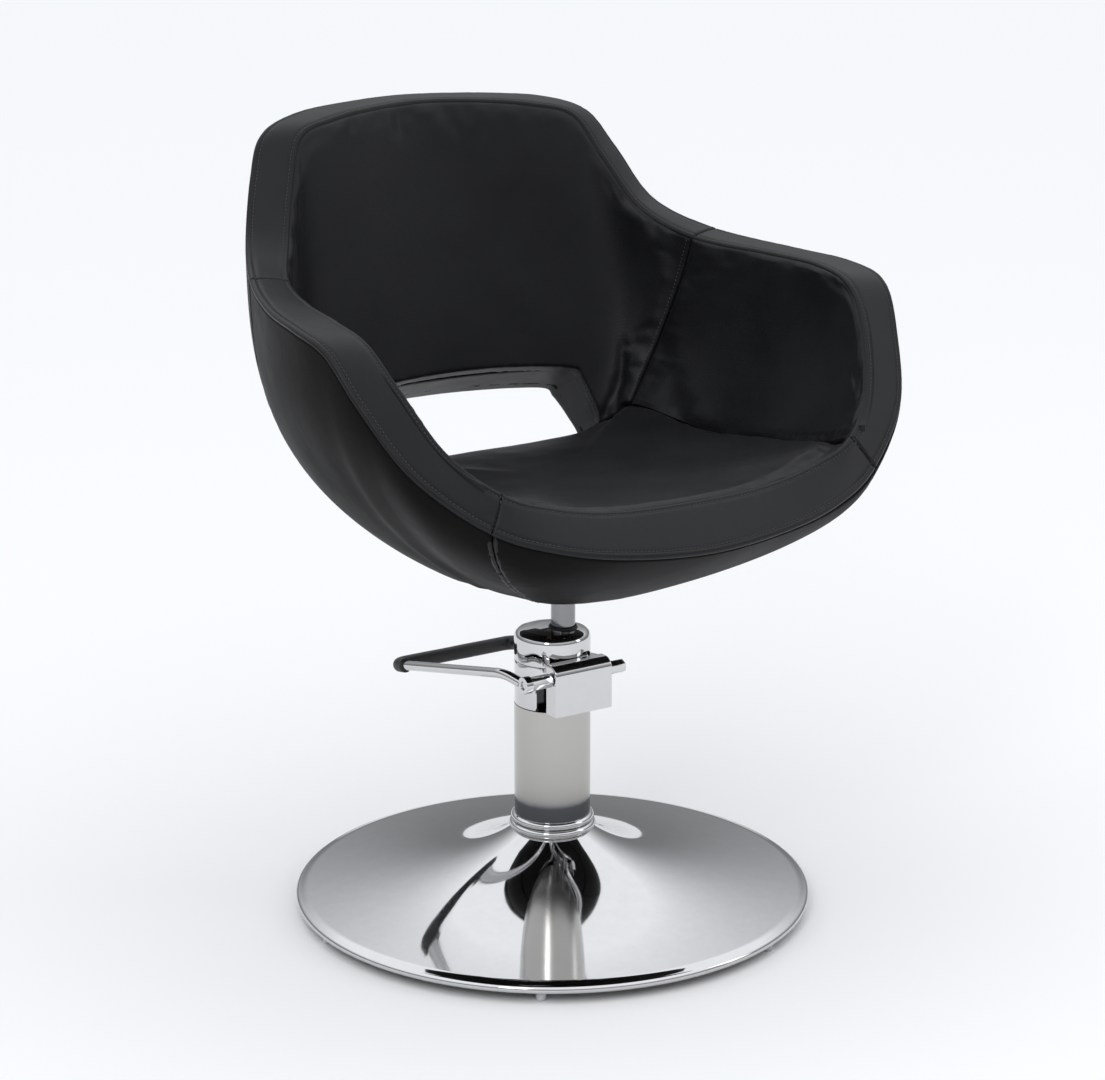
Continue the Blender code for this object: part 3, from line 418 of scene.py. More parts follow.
def smooth_path(corners, radius, steps=14):
    """Straight runs between the corners, with each corner turned into a bend."""
    corners = [np.array(corner, float) for corner in corners]
    points = [corners[0]]
    for before, corner, after in zip(corners, corners[1:], corners[2:]):
        room_before = np.linalg.norm(before - corner)
        room_after = np.linalg.norm(after - corner)
        reach = min(radius, 0.7 * room_before, 0.7 * room_after)
        start = corner + (before - corner) / room_before * reach
        end = corner + (after - corner) / room_after * reach
        points.extend(np.linspace(points[-1], start, 6)[1:-1])
        for step in range(steps + 1):
            t = step / steps
            points.append(start * (1 - t) ** 2 + corner * 2 * t * (1 - t) + end * t**2)
    points.extend(np.linspace(points[-1], corners[-1], 6)[1:])
    return np.array(points)


def wobble(places, size, seed):
    """Smooth random values from -1 to 1 at the places, with features of about this size."""
    shape = places.shape[:-1]
    shift = Vector((seed * 7.31, seed * 3.17, seed * 5.77))
    values = [noise.noise(Vector(place) / size + shift) for place in places.reshape(-1, 3)]
    return np.array(values).reshape(shape)


# --- The tub's form ------------------------------------------------------------------------------


def through(stations, t):
    """A smooth curve through the stations, level and symmetric at both ends."""
    points = np.array(stations, float)
    mirror = np.array((-1.0, 1.0, 1.0))
    points = np.vstack((points[1] * mirror, points, points[-2] * mirror))
    t = np.clip(np.asarray(t, float), 0.0, len(stations) - 1 - 1e-9)
    index = t.astype(int)
    f = (t - index)[..., None]
    a, b, c, d = (points[index + step] for step in range(4))
    return 0.5 * (2 * b + (c - a) * f + (2 * a - 5 * b + 4 * c - d) * f**2 + (3 * b - a - 3 * c + d) * f**3)


def eased(stations, values, t):
    """A value that eases from station to station."""
    stations = np.array(stations, float)
    values = np.array(values, float)
    index = np.clip(np.searchsorted(stations, t, side="right") - 1, 0, len(stations) - 2)
    f = np.clip((t - stations[index]) / (stations[index + 1] - stations[index]), 0, 1)
    f = f * f * (3 - 2 * f)
    return values[index] * (1 - f) + values[index + 1] * f


def edge_at(column, way):
    way = np.asarray(way, float) % AROUND
    flipped = way > BACK_CENTRE
    place = through([row[column] for row in RIM], np.where(flipped, AROUND - way, way))
    place[..., 0] *= np.where(flipped, -1.0, 1.0)
    return place


def station_of(way):
    way = np.asarray(way, float) % AROUND
    return np.where(way > BACK_CENTRE, AROUND - way, way)


def quarter(rho, squareness):
    return 1 - (1 - np.minimum(rho, 1 - 1e-9) ** squareness) ** (1 / squareness)


def outer_shell(way, down):
    """The outer leather: down is 0 at the rim and 1 at the pole under the seat."""
    way, down = np.broadcast_arrays(way, down)
    station = station_of(way)
    edge = edge_at(0, way)
    full = eased(SHAPE_AT, FULLNESS, station)
    square = eased(SHAPE_AT, SQUARENESS, station)
    rho = 1 - down
    rise = quarter(np.maximum(full * rho, 0), square) / quarter(full, square)
    spread = rho * (1 + 4 * eased(SHAPE_AT, SWELL, station) * down * rho**3)
    return np.stack((edge[..., 0] * spread, edge[..., 1] * spread, POLE_Z + (edge[..., 2] - POLE_Z) * rise), -1)


def inner_wall(way, down):
    """The inner leather: down is 0 at the rim and 1 at the seat's edge."""
    way, down = np.broadcast_arrays(way, down)
    top = edge_at(1, way)
    low = edge_at(2, way)
    place = top + (low - top) * down[..., None]
    outward = place * (1.0, 1.0, 0.0)
    outward /= np.linalg.norm(outward, axis=-1)[..., None]
    bow = 4 * eased(HOLLOW_AT, HOLLOW, station_of(way)) * down * (1 - down)
    return place + outward * bow[..., None]


def band(way, across):
    """The band that closes the wall at the rim: across is 0 at its outer and 1 at its inner edge."""
    way, across = np.broadcast_arrays(way, across)
    return edge_at(0, way) * (1 - across[..., None]) + edge_at(1, way) * across[..., None]


def seat_top(way, out):
    """The seat's top: out is 0 in the middle and 1 at its edge."""
    way, out = np.broadcast_arrays(way, out)
    edge = edge_at(2, way)
    height = SEAT_CENTRE_Z + (edge[..., 2] - SEAT_CENTRE_Z) * out**2.5
    return np.stack((edge[..., 0] * out, edge[..., 1] * out, height), -1)


def normals_of(surface, a, b):
    """Unit normals, towards the sitter on the walls and up on the band."""
    step = 1e-4
    along = surface(a + step, b) - surface(a - step, b)
    other = surface(a, b + step) - surface(a, b - step)
    normal = np.cross(along, other)
    return normal / np.linalg.norm(normal, axis=-1)[..., None]


def run_of(surface, ways, far):
    """For each way, the length down the surface at even shares, and the shares."""
    shares = np.linspace(0, far, 121)
    places = surface(ways[:, None], shares[None, :])
    steps = np.linalg.norm(np.diff(places, axis=1), axis=2)
    run = np.concatenate((np.zeros((len(ways), 1)), np.cumsum(steps, axis=1)), axis=1)
    return shares, run


# Distances from a sewn edge at which a panel has a line of points: close together where it rolls under
EDGE_LINES = np.array((0.0, 0.0003, 0.0008, 0.0015, 0.0024, 0.0034, 0.0046, 0.0054, 0.0061, 0.0068, 0.0080, 0.0110))
EDGE_WAYS = EDGE_LINES / 0.075


def edged_ways(low, high, count):
    """Places along the way round, close together at both ends."""
    middle = np.linspace(low + EDGE_WAYS[-1], high - EDGE_WAYS[-1], count)
    return np.concatenate((low + EDGE_WAYS[:-1], middle, (high - EDGE_WAYS[:-1])[::-1]))


def edged_rows(length, count, top=True, bottom=True):
    """For each column, distances down it, close together at its sewn ends."""
    head = EDGE_LINES if top else EDGE_LINES[:1]
    tail = EDGE_LINES if bottom else EDGE_LINES[:1]
    rows = []
    for size in length:
        middle = np.linspace(head[-1], size - tail[-1], count)
        rows.append(np.concatenate((head[:-1], middle, (size - tail[:-1])[::-1])))
    return np.array(rows)


class Sheet:
    """A grid of points laid on one of the tub's surfaces, which can be shaped along its normals."""

    def __init__(self, surface, ways, row_count, start=0.0, end=None, far=1.0, top=True, bottom=True, face=1.0):
        shares, run = run_of(surface, ways, far)
        last = run[:, -1] if end is None else np.array([np.interp(end, shares, line) for line in run])
        rows = edged_rows(last - start, row_count, top, bottom) + start
        downs = np.array([np.interp(row, line, shares) for row, line in zip(rows, run)])
        self.ways = np.broadcast_to(ways[:, None], downs.shape)
        self.places = surface(self.ways, downs)
        self.normals = normals_of(surface, self.ways, np.clip(downs, 2e-4, far - 2e-4)) * face
        self.from_top = rows - rows[:, :1]
        self.from_bottom = rows[:, -1:] - rows
        steps = np.linalg.norm(np.diff(self.places, axis=0), axis=2)
        run = np.concatenate((np.zeros((1, steps.shape[1])), np.cumsum(steps, axis=0)))
        self.from_low = run
        self.from_high = run[-1:] - run
        self.rest = self.places.copy()
        flat = self.places * (1.0, 1.0, 0.0)
        self.outward = flat / np.maximum(np.linalg.norm(flat, axis=-1), 1e-6)[..., None]

    def border(self, top=True, bottom=True, sides=True):
        """The distance from the nearest of the chosen edges."""
        near = np.full(self.from_top.shape, 1.0)
        for wanted, distance in (
            (top, self.from_top),
            (bottom, self.from_bottom),
            (sides, self.from_low),
            (sides, self.from_high),
        ):
            if wanted:
                near = np.minimum(near, distance)
        return near

    def push(self, amount):
        self.places = self.places + self.normals * np.asarray(amount)[..., None]
        return self

    def roll(self, near, radius=0.0045, depth=0.0045):
        """The leather turns under at its sewn edges."""
        share = np.clip(near / radius, 0, 1)
        return self.push(-depth * (1 - np.sqrt(1 - (1 - share) ** 2)))

    def pucker(self, near, size=0.0004, seed=1, reach=0.012, length=0.007):
        """Small gathers that die away from the seam."""
        return self.push(size * np.exp(-near / reach) * wobble(self.rest, length, seed))

    def groove(self, distance, at=0.0061, depth=0.0009, width=0.0014):
        return self.push(-depth * np.exp(-(((distance - at) / width) ** 2)))

    def solid(self, name, material, thickness=0.0070):
        """The closed piece: the shaped face, a plain back and the sides between them."""
        n, m = self.places.shape[:2]
        back = self.rest - self.normals * thickness
        verts = np.concatenate((self.places.reshape(-1, 3), back.reshape(-1, 3))) + TUB_AXIS
        index = np.arange(n * m).reshape(n, m)
        quads = np.stack((index[:-1, :-1], index[1:, :-1], index[1:, 1:], index[:-1, 1:]), -1).reshape(-1, 4)
        faces = [tuple(quad) for quad in quads]
        faces += [tuple(quad[::-1] + n * m) for quad in quads]
        ring = np.concatenate((index[:, 0], index[-1, 1:], index[-2::-1, -1], index[0, -2:0:-1]))
        for a, b in zip(ring, np.roll(ring, -1)):
            faces.append((b, a, a + n * m, b + n * m))
        return new_object(name, verts, faces, material)


def swollen(name, sheet, cap, pressure=4.0, slack=0.012, frames=20):
    """How far each point moves out when the sheet, held at its edges, is puffed up as cloth over foam."""
    n, m = 56, 40
    columns = np.linspace(0, sheet.places.shape[0] - 1, n).round().astype(int)
    coarse_u = np.linspace(0, 1, n)
    coarse_v = np.linspace(0, 1, m)
    share_v = sheet.from_top / sheet.from_top[:, -1:]
    share_u = (sheet.ways[:, 0] - sheet.ways[0, 0]) / (sheet.ways[-1, 0] - sheet.ways[0, 0])
    columns = np.clip(np.searchsorted(share_u, coarse_u), 0, len(share_u) - 1)
    points = np.array([[np.interp(coarse_v, share_v[c], sheet.rest[c, :, k]) for k in range(3)] for c in columns])
    points = points.transpose(0, 2, 1)
    normal = np.array([[np.interp(coarse_v, share_v[c], sheet.normals[c, :, k]) for k in range(3)] for c in columns])
    normal = normal.transpose(0, 2, 1)
    index = np.arange(n * m).reshape(n, m)
    quads = np.stack((index[:-1, :-1], index[1:, :-1], index[1:, 1:], index[:-1, 1:]), -1).reshape(-1, 4)
    mesh = bpy.data.meshes.new(name)
    mesh.from_pydata([tuple(p) for p in points.reshape(-1, 3)], [], [tuple(map(int, q)) for q in quads])
    mesh.update()
    if np.dot(mesh.polygons[len(quads) // 2].normal, normal[n // 2, m // 2]) < 0:
        mesh.flip_normals()
    obj = bpy.data.objects.new(name, mesh)
    bpy.context.scene.collection.objects.link(obj)
    held = obj.vertex_groups.new(name="held")
    border = np.unique(np.concatenate((index[0], index[-1], index[:, 0], index[:, -1])))
    held.add([int(i) for i in border], 1.0, "ADD")
    cloth = obj.modifiers.new("cloth", "CLOTH")
    cloth.settings.quality = 5
    cloth.settings.mass = 0.4
    cloth.settings.tension_stiffness = 25.0
    cloth.settings.compression_stiffness = 25.0
    cloth.settings.shear_stiffness = 12.0
    cloth.settings.bending_stiffness = 2.0
    cloth.settings.shrink_min = -slack
    cloth.settings.vertex_group_mass = "held"
    cloth.settings.use_pressure = True
    cloth.settings.uniform_pressure_force = pressure
    cloth.settings.effector_weights.gravity = 0.0
    cloth.point_cache.frame_start = 1
    cloth.point_cache.frame_end = frames
    scene = bpy.context.scene
    for number in range(1, frames + 1):
        scene.frame_set(number)
    graph = bpy.context.evaluated_depsgraph_get()
    result = obj.evaluated_get(graph).to_mesh()
    moved = np.array([v.co for v in result.vertices]).reshape(n, m, 3)
    out = np.clip(((moved - points) * normal).sum(-1), -0.25 * cap, cap)
    bpy.data.objects.remove(obj, do_unlink=True)
    scene.frame_set(1)
    across = np.array([np.interp(share_u, coarse_u, out[:, k]) for k in range(m)]).T
    return np.array([np.interp(share_v[i], coarse_v, across[i]) for i in range(len(share_u))])


class Stitches:
    """Rows of thread, gathered into one piece."""

    def __init__(self, length=0.0034, pitch=0.0046, thread=0.00060):
        self.length = length
        self.pitch = pitch
        self.thread = thread
        self.verts = []
        self.faces = []

    def row(self, path, obj):
        """A row along the path, sunk into the surface of the piece under it."""
        path = np.array(path, float)
        run = np.concatenate(((0,), np.cumsum(np.linalg.norm(np.diff(path, axis=0), axis=1))))
        tree = BVHTree.FromObject(obj, bpy.context.evaluated_depsgraph_get())
        count = int(run[-1] / self.pitch)
        rings, sides = 5, 6
        for index in range(count):
            start = (index + 0.5) * run[-1] / count - self.length / 2
            places = []
            for ring in range(rings):
                t = ring / (rings - 1)
                at = start + self.length * t
                wanted = Vector([np.interp(at, run, path[:, k]) for k in range(3)])
                hit, normal, _, _ = tree.find_nearest(wanted)
                places.append((hit, normal, math.sin(math.pi * t)))
            if (places[0][0] - places[-1][0]).length < self.length * 0.5:
                continue
            along = (places[-1][0] - places[0][0]).normalized()
            base = len(self.verts)
            for hit, normal, arch in places:
                side = along.cross(normal).normalized()
                centre = hit + normal * (self.thread * (0.9 * arch - 0.35))
                radius = self.thread * (0.55 + 0.45 * arch)
                for step in range(sides):
                    angle = math.tau * step / sides
                    offset = side * math.cos(angle) * radius + normal * math.sin(angle) * radius
                    self.verts.append(centre + offset)
            for ring in range(rings - 1):
                for step in range(sides):
                    ahead = (step + 1) % sides
                    first = base + ring * sides
                    self.faces.append((first + step, first + ahead, first + sides + ahead, first + sides + step))
            self.faces.append(tuple(base + step for step in range(sides))[::-1])
            self.faces.append(tuple(base + (rings - 1) * sides + step for step in range(sides)))

    def piece(self, name):
        return new_object(name, self.verts, self.faces, THREAD)


# --- Base and pump -------------------------------------------------------------------------------

BASE_R = 0.300
NECK_R = 0.0460
NECK_TOP = 0.0850
RIM_TOP = 0.014
DOME_SLOPE = 0.080
FLARE = 0.070
TUBE_R = 0.0440
TUBE_TOP = 0.2370
HEAD_TOP = 0.2960
CAP_TOP = 0.3275
CAP_SKIRT = 0.2900
CAP_WALL = 0.0016
RAM_R = 0.0140


def dome_height(radius):
    """The trumpet: a low cone that flares up to the neck."""
    cone = RIM_TOP + DOME_SLOPE * (BASE_R - radius)
    neck_cone = RIM_TOP + DOME_SLOPE * (BASE_R - NECK_R)
    return cone + (NECK_TOP - neck_cone) * np.exp((NECK_R - radius) / FLARE)


def make_base():
    radii = NECK_R * (0.2915 / NECK_R) ** (np.arange(91) / 90)
    outer = [(r, dome_height(r)) for r in radii]
    lip = []
    for step in range(15):
        angle = math.radians(96 - 276 * step / 14)
        lip.append((0.2948 + 0.0052 * math.cos(angle), 0.0097 + 0.0048 * math.sin(angle)))
    under = [(r - 0.0012, dome_height(r) - 0.0020) for r in radii[-4:1:-4]]
    dome = lathe("trumpet_base", outer + lip + under, CHROME, BASE_AXIS, 256, 60)
    finished(dome, "base", "chrome", "base_dome")
    beads = []
    middle, low, high = 0.0942, NECK_TOP + 0.0004, 0.1030
    for bottom, top, radius in ((middle, high, 0.0482), (low, middle, 0.0505)):
        half = (top - bottom) / 2
        for step in range(17):
            angle = math.pi / 2 - math.pi * step / 16
            beads.append((radius - half * (1 - math.cos(angle)), bottom + half * (1 + math.sin(angle))))
    profile = beads + [(TUBE_R + 0.0004, low), (TUBE_R + 0.0004, high)]
    collar = lathe("neck_collar", profile, CHROME, BASE_AXIS, 160, 60)
    finished(collar, "base", "chrome", "base_collar")
    feet = sorted(node for node in frame["nodes"] if node.startswith("foot_"))
    for index, node in enumerate(feet):
        low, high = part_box(node)
        middle = (low + high) / 2
        radius = (high.x - low.x) / 2
        profile = rounded(((0.0, high.z), (radius, high.z), (radius * 0.86, low.z), (0.0, low.z)), 0.0014)
        axis = (middle.x, middle.y, 0.0)
        foot = lathe(f"glide_{index + 1}", profile, PLASTIC, axis, 32, 40)
        finished(foot, "base", "foot_plastic", node)


def make_tube():
    profile = (
        (TUBE_R, TUBE_TOP),
        (TUBE_R, NECK_TOP + 0.0004),
        (TUBE_R - 0.0030, NECK_TOP + 0.0004),
        (TUBE_R - 0.0030, TUBE_TOP),
    )
    tube = lathe("pump_tube", rounded(profile, 0.0006), TUBE_STEEL, BASE_AXIS, 192, 40)
    return finished(tube, "base", "satin_steel", "pump_cylinder")


def cylinder(name, radius, low, high, axis, along="Z", steps=96):
    profile = ((0.0, high), (radius, high), (radius, low), (0.0, low))
    return lathe(name, profile, CHROME, axis, steps, 40, along)


def block(name, low, high):
    x0, y0, z0 = low
    x1, y1, z1 = high
    verts = [(x, y, z) for x in (x0, x1) for y in (y0, y1) for z in (z0, z1)]
    faces = ((0, 1, 3, 2), (4, 6, 7, 5), (0, 4, 5, 1), (2, 3, 7, 6), (0, 2, 6, 4), (1, 5, 7, 3))
    obj = new_object(name, np.array(verts) + BASE_AXIS, faces, CHROME, 30)
    return obj


def make_head():
    step = TUBE_R - CAP_WALL - 0.0004
    profile = (
        (0.0, HEAD_TOP),
        (step, HEAD_TOP),
        (step, CAP_SKIRT - 0.0004),
        (TUBE_R - 0.0002, CAP_SKIRT - 0.0004),
        (TUBE_R - 0.0002, TUBE_TOP + 0.0004),
        (0.0, TUBE_TOP + 0.0004),
    )
    head = lathe("pump_head_body", rounded(profile, 0.0009), CHROME, BASE_AXIS, 160, 40)
    bore = cylinder("bore", 0.0209, 0.20, 0.34, (RAM_X, RAM_Y, LIFT))
    notch = block("notch", (-0.0150, -0.0600, 0.2700), (0.0080, -0.0285, 0.3100))
    slot = block("slot", (-0.0460, -0.0600, 0.2300), (-0.0200, -0.0222, 0.2690))
    well = cylinder("well", 0.0050, TUBE_TOP + 0.0015, 0.28, (-0.0040, -0.0370, LIFT), steps=32)
    pocket = block("pocket", (-0.0362, -0.0230, 0.2395), (-0.0215, 0.0150, 0.2680))
    cut(head, bore, notch, slot, well, pocket)
    head.data.shade_smooth()
    head.data.set_sharp_from_angle(angle=math.radians(40))
    finished(head, "base", "chrome", "pump_head")
    cap_profile = (
        (0.0, CAP_TOP),
        (0.0200, CAP_TOP - 0.0006),
        (0.0330, CAP_TOP - 0.0020),
        (0.0392, CAP_TOP - 0.0036),
        (0.0424, CAP_TOP - 0.0062),
        (TUBE_R, CAP_TOP - 0.0100),
        (TUBE_R, CAP_SKIRT),
        (TUBE_R - CAP_WALL, CAP_SKIRT),
        (TUBE_R - CAP_WALL, HEAD_TOP + 0.0004),
        (0.0, HEAD_TOP + 0.0004),
    )
    cap = lathe("bell_cap", rounded(cap_profile, 0.0016, 6), CHROME, BASE_AXIS, 192, 50)
    hole = cylinder("hole", RAM_R + 0.0028, 0.28, 0.34, (RAM_X, RAM_Y, LIFT))
    arch = cylinder("arch", 0.0200, -0.0700, -0.0300, (0.0, 0.0, 0.0))
    arch.data.transform(Matrix.Rotation(math.radians(90), 4, "Z") @ Matrix.Rotation(math.radians(90), 4, "Y"))
    arch.data.transform(Matrix.Translation((0.0180, 0.0, 0.2840 + LIFT)))
    cut(cap, hole, arch)
    cap.data.shade_smooth()
    cap.data.set_sharp_from_angle(angle=math.radians(35))
    add_modifier(cap, "BEVEL", width=0.0005, segments=3, limit_method="ANGLE", angle_limit=math.radians(50))
    baked(cap)
    return finished(cap, "base", "chrome", "pump_cap")


def make_ram():
    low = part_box("ram")[0].z
    profile = (
        (0.0, 0.4300 + LIFT),
        (0.0108, 0.4300 + LIFT),
        (RAM_R - 0.0005, 0.3900 + LIFT),
        (RAM_R, 0.3880 + LIFT),
        (RAM_R, low),
        (0.0, low),
    )
    ram = lathe("ram_shaft", rounded(profile, 0.0008), RAM_STEEL, (RAM_X, RAM_Y, 0.0), 96, 40)
    finished(ram, "chair", "polished_steel", "ram")
    wiper = (
        (RAM_R + 0.0012, CAP_TOP + 0.0020),
        (RAM_R + 0.0022, CAP_TOP + 0.0008),
        (RAM_R + 0.0022, HEAD_TOP + 0.0004),
        (RAM_R + 0.00035, HEAD_TOP + 0.0004),
        (RAM_R + 0.00035, CAP_TOP + 0.0020),
    )
    seal = lathe("ram_seal", rounded(wiper, 0.0006), RUBBER, (RAM_X, RAM_Y, LIFT), 96, 50)
    return finished(seal, "base", "black_rubber", "ram_wiper")


# --- Lever ---------------------------------------------------------------------------------------

PIN_R = 0.0045
EYE_LEFT = -0.0718
EYE_RIGHT = 0.0300
BAR_R = 0.00575
PEDAL_HALF = 0.0800
PEDAL_DY = 0.2140 + 0.0550
PEDAL_DZ = 0.2380 - 0.2840
COVER_HALF = 0.0385


def make_cover():
    """The folded sheet over the lever's hub, rolled over at its top front."""
    low = np.array((-COVER_HALF, -0.0660, 0.2415)) + BASE_AXIS
    high = np.array((COVER_HALF, -0.0458, 0.3000)) + BASE_AXIS
    bm = bmesh.new()
    bmesh.ops.create_cube(bm, size=1.0)
    for vert in bm.verts:
        vert.co = Vector(low + (high - low) * (np.array(vert.co) + 0.5))
    bm.normal_update()
    open_sides = [face for face in bm.faces if face.normal.y > 0.5 or face.normal.z < -0.5]
    bmesh.ops.delete(bm, geom=open_sides, context="FACES")
    roll = [edge for edge in bm.edges if {round(face.normal.z) for face in edge.link_faces} == {0, 1}]
    roll = [edge for edge in roll if {round(face.normal.x) for face in edge.link_faces} == {0}]
    bmesh.ops.bevel(bm, geom=roll, offset=0.0120, segments=20, affect="EDGES", profile=0.5)
    bends = [edge for edge in bm.edges if len(edge.link_faces) == 2 and edge.calc_face_angle() > 1.0]
    bmesh.ops.bevel(bm, geom=bends, offset=0.0022, segments=4, affect="EDGES", profile=0.5)
    bmesh.ops.recalc_face_normals(bm, faces=bm.faces[:])
    mesh = bpy.data.meshes.new("pump_cover")
    bm.to_mesh(mesh)
    bm.free()
    mesh.shade_smooth()
    cover = bpy.data.objects.new("pump_cover", mesh)
    mesh.materials.append(CHROME)
    bpy.context.scene.collection.objects.link(cover)
    add_modifier(cover, "SOLIDIFY", thickness=0.0018, offset=-1.0, use_even_offset=True)
    baked(cover)
    pin = cylinder("pin_hole", PIN_R + 0.0008, -0.0600, 0.0600, tuple(LEVER_AXIS), "X", 48)
    cut(cover, pin)
    cover.data.shade_smooth()
    cover.data.set_sharp_from_angle(angle=math.radians(35))
    add_modifier(cover, "BEVEL", width=0.0004, segments=2, limit_method="ANGLE", angle_limit=math.radians(60))
    add_modifier(cover, "WEIGHTED_NORMAL", keep_sharp=True)
    baked(cover)
    return finished(cover, "base", "chrome", "lever_cover")


def hexagon(name, node, turn):
    """A nut or bolt head with chamfered corners, at its node's place on the pin."""
    low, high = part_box(node)
    radius = (high.z - low.z) / 2
    bm = bmesh.new()
    bmesh.ops.create_cone(bm, cap_ends=True, segments=6, radius1=radius, radius2=radius, depth=high.x - low.x)
    mesh = bpy.data.meshes.new(name)
    bm.to_mesh(mesh)
    bm.free()
    mesh.transform(Matrix.Rotation(math.radians(turn), 4, "Z"))
    mesh.transform(Matrix.Rotation(math.radians(90), 4, "Y"))
    mesh.transform(Matrix.Translation(((low.x + high.x) / 2, LEVER_AXIS[1], LEVER_AXIS[2])))
    obj = bpy.data.objects.new(name, mesh)
    mesh.materials.append(CHROME)
    bpy.context.scene.collection.objects.link(obj)
    round_off = cylinder("round_off", radius * 0.99, low.x - 0.001, high.x + 0.001, tuple(LEVER_AXIS), "X", 64)
    add_modifier(obj, "BEVEL", width=0.0007, segments=3, limit_method="ANGLE", angle_limit=math.radians(30))
    add_modifier(obj, "BOOLEAN", operation="INTERSECT", solver="EXACT", object=round_off)
    baked(obj)
    bpy.data.objects.remove(round_off, do_unlink=True)
    obj.data.shade_smooth()
    obj.data.set_sharp_from_angle(angle=math.radians(40))
    return finished(obj, "lever", "chrome", node)


def make_lever():
    corner = np.array((-PEDAL_HALF - 0.0030, PEDAL_DY, PEDAL_DZ))
    other = corner * (-1, 1, 1)
    left = [np.array((EYE_LEFT, 0.0100, 0.0)), np.array((EYE_LEFT - 0.0060, 0.0350, 0.0056)), corner]
    right = [other, np.array((0.0680, 0.0480, -0.0080)), np.array((EYE_RIGHT, 0.0130, 0.0))]
    right.append(np.array((EYE_RIGHT, 0.0080, 0.0)))
    path = smooth_path(left + right, 0.0160) + LEVER_AXIS
    bar = sweep("lever_rod", path, BAR_R, CHROME, 28)
    finished(bar, "lever", "chrome", "lever_bar")
    ends = []
    for before, end in (left[1:], right[1::-1]):
        ends.append(end + (before - end) / np.linalg.norm(before - end) * 0.0245)
    grip = [ends[0], corner, other, ends[1]]
    path = smooth_path(grip, 0.0160, 20) + LEVER_AXIS
    run = np.concatenate(((0,), np.cumsum(np.linalg.norm(np.diff(path, axis=0), axis=1))))
    end = np.minimum(run, run[-1] - run)
    radii = 0.0064 + 0.0022 * np.clip(end / 0.0016, 0, 1) ** 0.5
    radii = radii + 0.00025 * wobble(path, 0.02, 3)
    sleeve = sweep("pedal_rubber", path, radii, RUBBER, 32)
    finished(sleeve, "lever", "black_rubber", "pedal_sleeve")
    low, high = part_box("pivot_pin")
    profile = rounded(((0.0, high.x), (PIN_R, high.x), (PIN_R, low.x), (0.0, low.x)), 0.0007)
    pin = lathe("hinge_pin", profile, CHROME, (0.0, LEVER_AXIS[1], LEVER_AXIS[2]), 48, 40, "X")
    finished(pin, "lever", "chrome", "pivot_pin")
    for side in ("left", "right"):
        low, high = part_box(f"lever_eye_{side}")
        outer = (high.z - low.z) / 2
        inner = PIN_R + 0.0002
        profile = ((inner, high.x), (outer, high.x), (outer, low.x), (inner, low.x))
        eye = lathe(f"lever_ring_{side}", rounded(profile, 0.0010), CHROME, tuple(LEVER_AXIS * (0, 1, 1)), 64, 40, "X")
        finished(eye, "lever", "chrome", f"lever_eye_{side}")
    hexagon("hex_nut", "pivot_nut_left", 0)
    hexagon("hex_head", "pivot_bolt_head", 30)


# --- Upholstery ----------------------------------------------------------------------------------


def window_rings(grow_list, count=10):
    """Closed outlines of the window on both faces, each grown outwards by a distance."""
    t = np.arange((len(WINDOW) - 1) * count + 1) / count
    inner = through([row[0] for row in WINDOW], t)
    outer = through([row[1] for row in WINDOW], t)
    flip = np.array((-1.0, 1.0, 1.0))
    inner = np.concatenate((inner, (inner[1:-1] * flip)[::-1]))
    outer = np.concatenate((outer, (outer[1:-1] * flip)[::-1]))
    made = []
    for grow in grow_list:
        sides = []
        for face in (inner, outer):
            along = np.roll(face, -1, axis=0) - np.roll(face, 1, axis=0)
            out = np.cross(outer - inner, along)
            sides.append(face + out / np.linalg.norm(out, axis=1)[:, None] * grow)
        made.append(tuple(sides))
    return made


def window_cutter(grow=0.0):
    ((inner, outer),) = window_rings([grow])
    near = inner + (inner - outer) * 0.8
    far = outer + (outer - inner) * 0.8
    count = len(near)
    verts = np.concatenate((near, far)) + TUB_AXIS
    bm = bmesh.new()
    made = [bm.verts.new(place) for place in verts]
    caps = [bm.faces.new(made[:count]), bm.faces.new(made[count:][::-1])]
    for index in range(count):
        after = (index + 1) % count
        bm.faces.new((made[index], made[after], made[count + after], made[count + index]))
    bmesh.ops.triangulate(bm, faces=caps)
    bm.normal_update()
    bmesh.ops.recalc_face_normals(bm, faces=bm.faces[:])
    mesh = bpy.data.meshes.new("window_cutter")
    bm.to_mesh(mesh)
    bm.free()
    obj = bpy.data.objects.new("window_cutter", mesh)
    bpy.context.scene.collection.objects.link(obj)
    return obj


def softened(obj, voxel=0.0024, rounds=4):
    """The piece as one even skin with soft edges."""
    add_modifier(obj, "REMESH", mode="VOXEL", voxel_size=voxel, use_smooth_shade=True)
    add_modifier(obj, "SMOOTH", factor=0.5, iterations=rounds)
    baked(obj)
    obj.data.shade_smooth()
    return obj


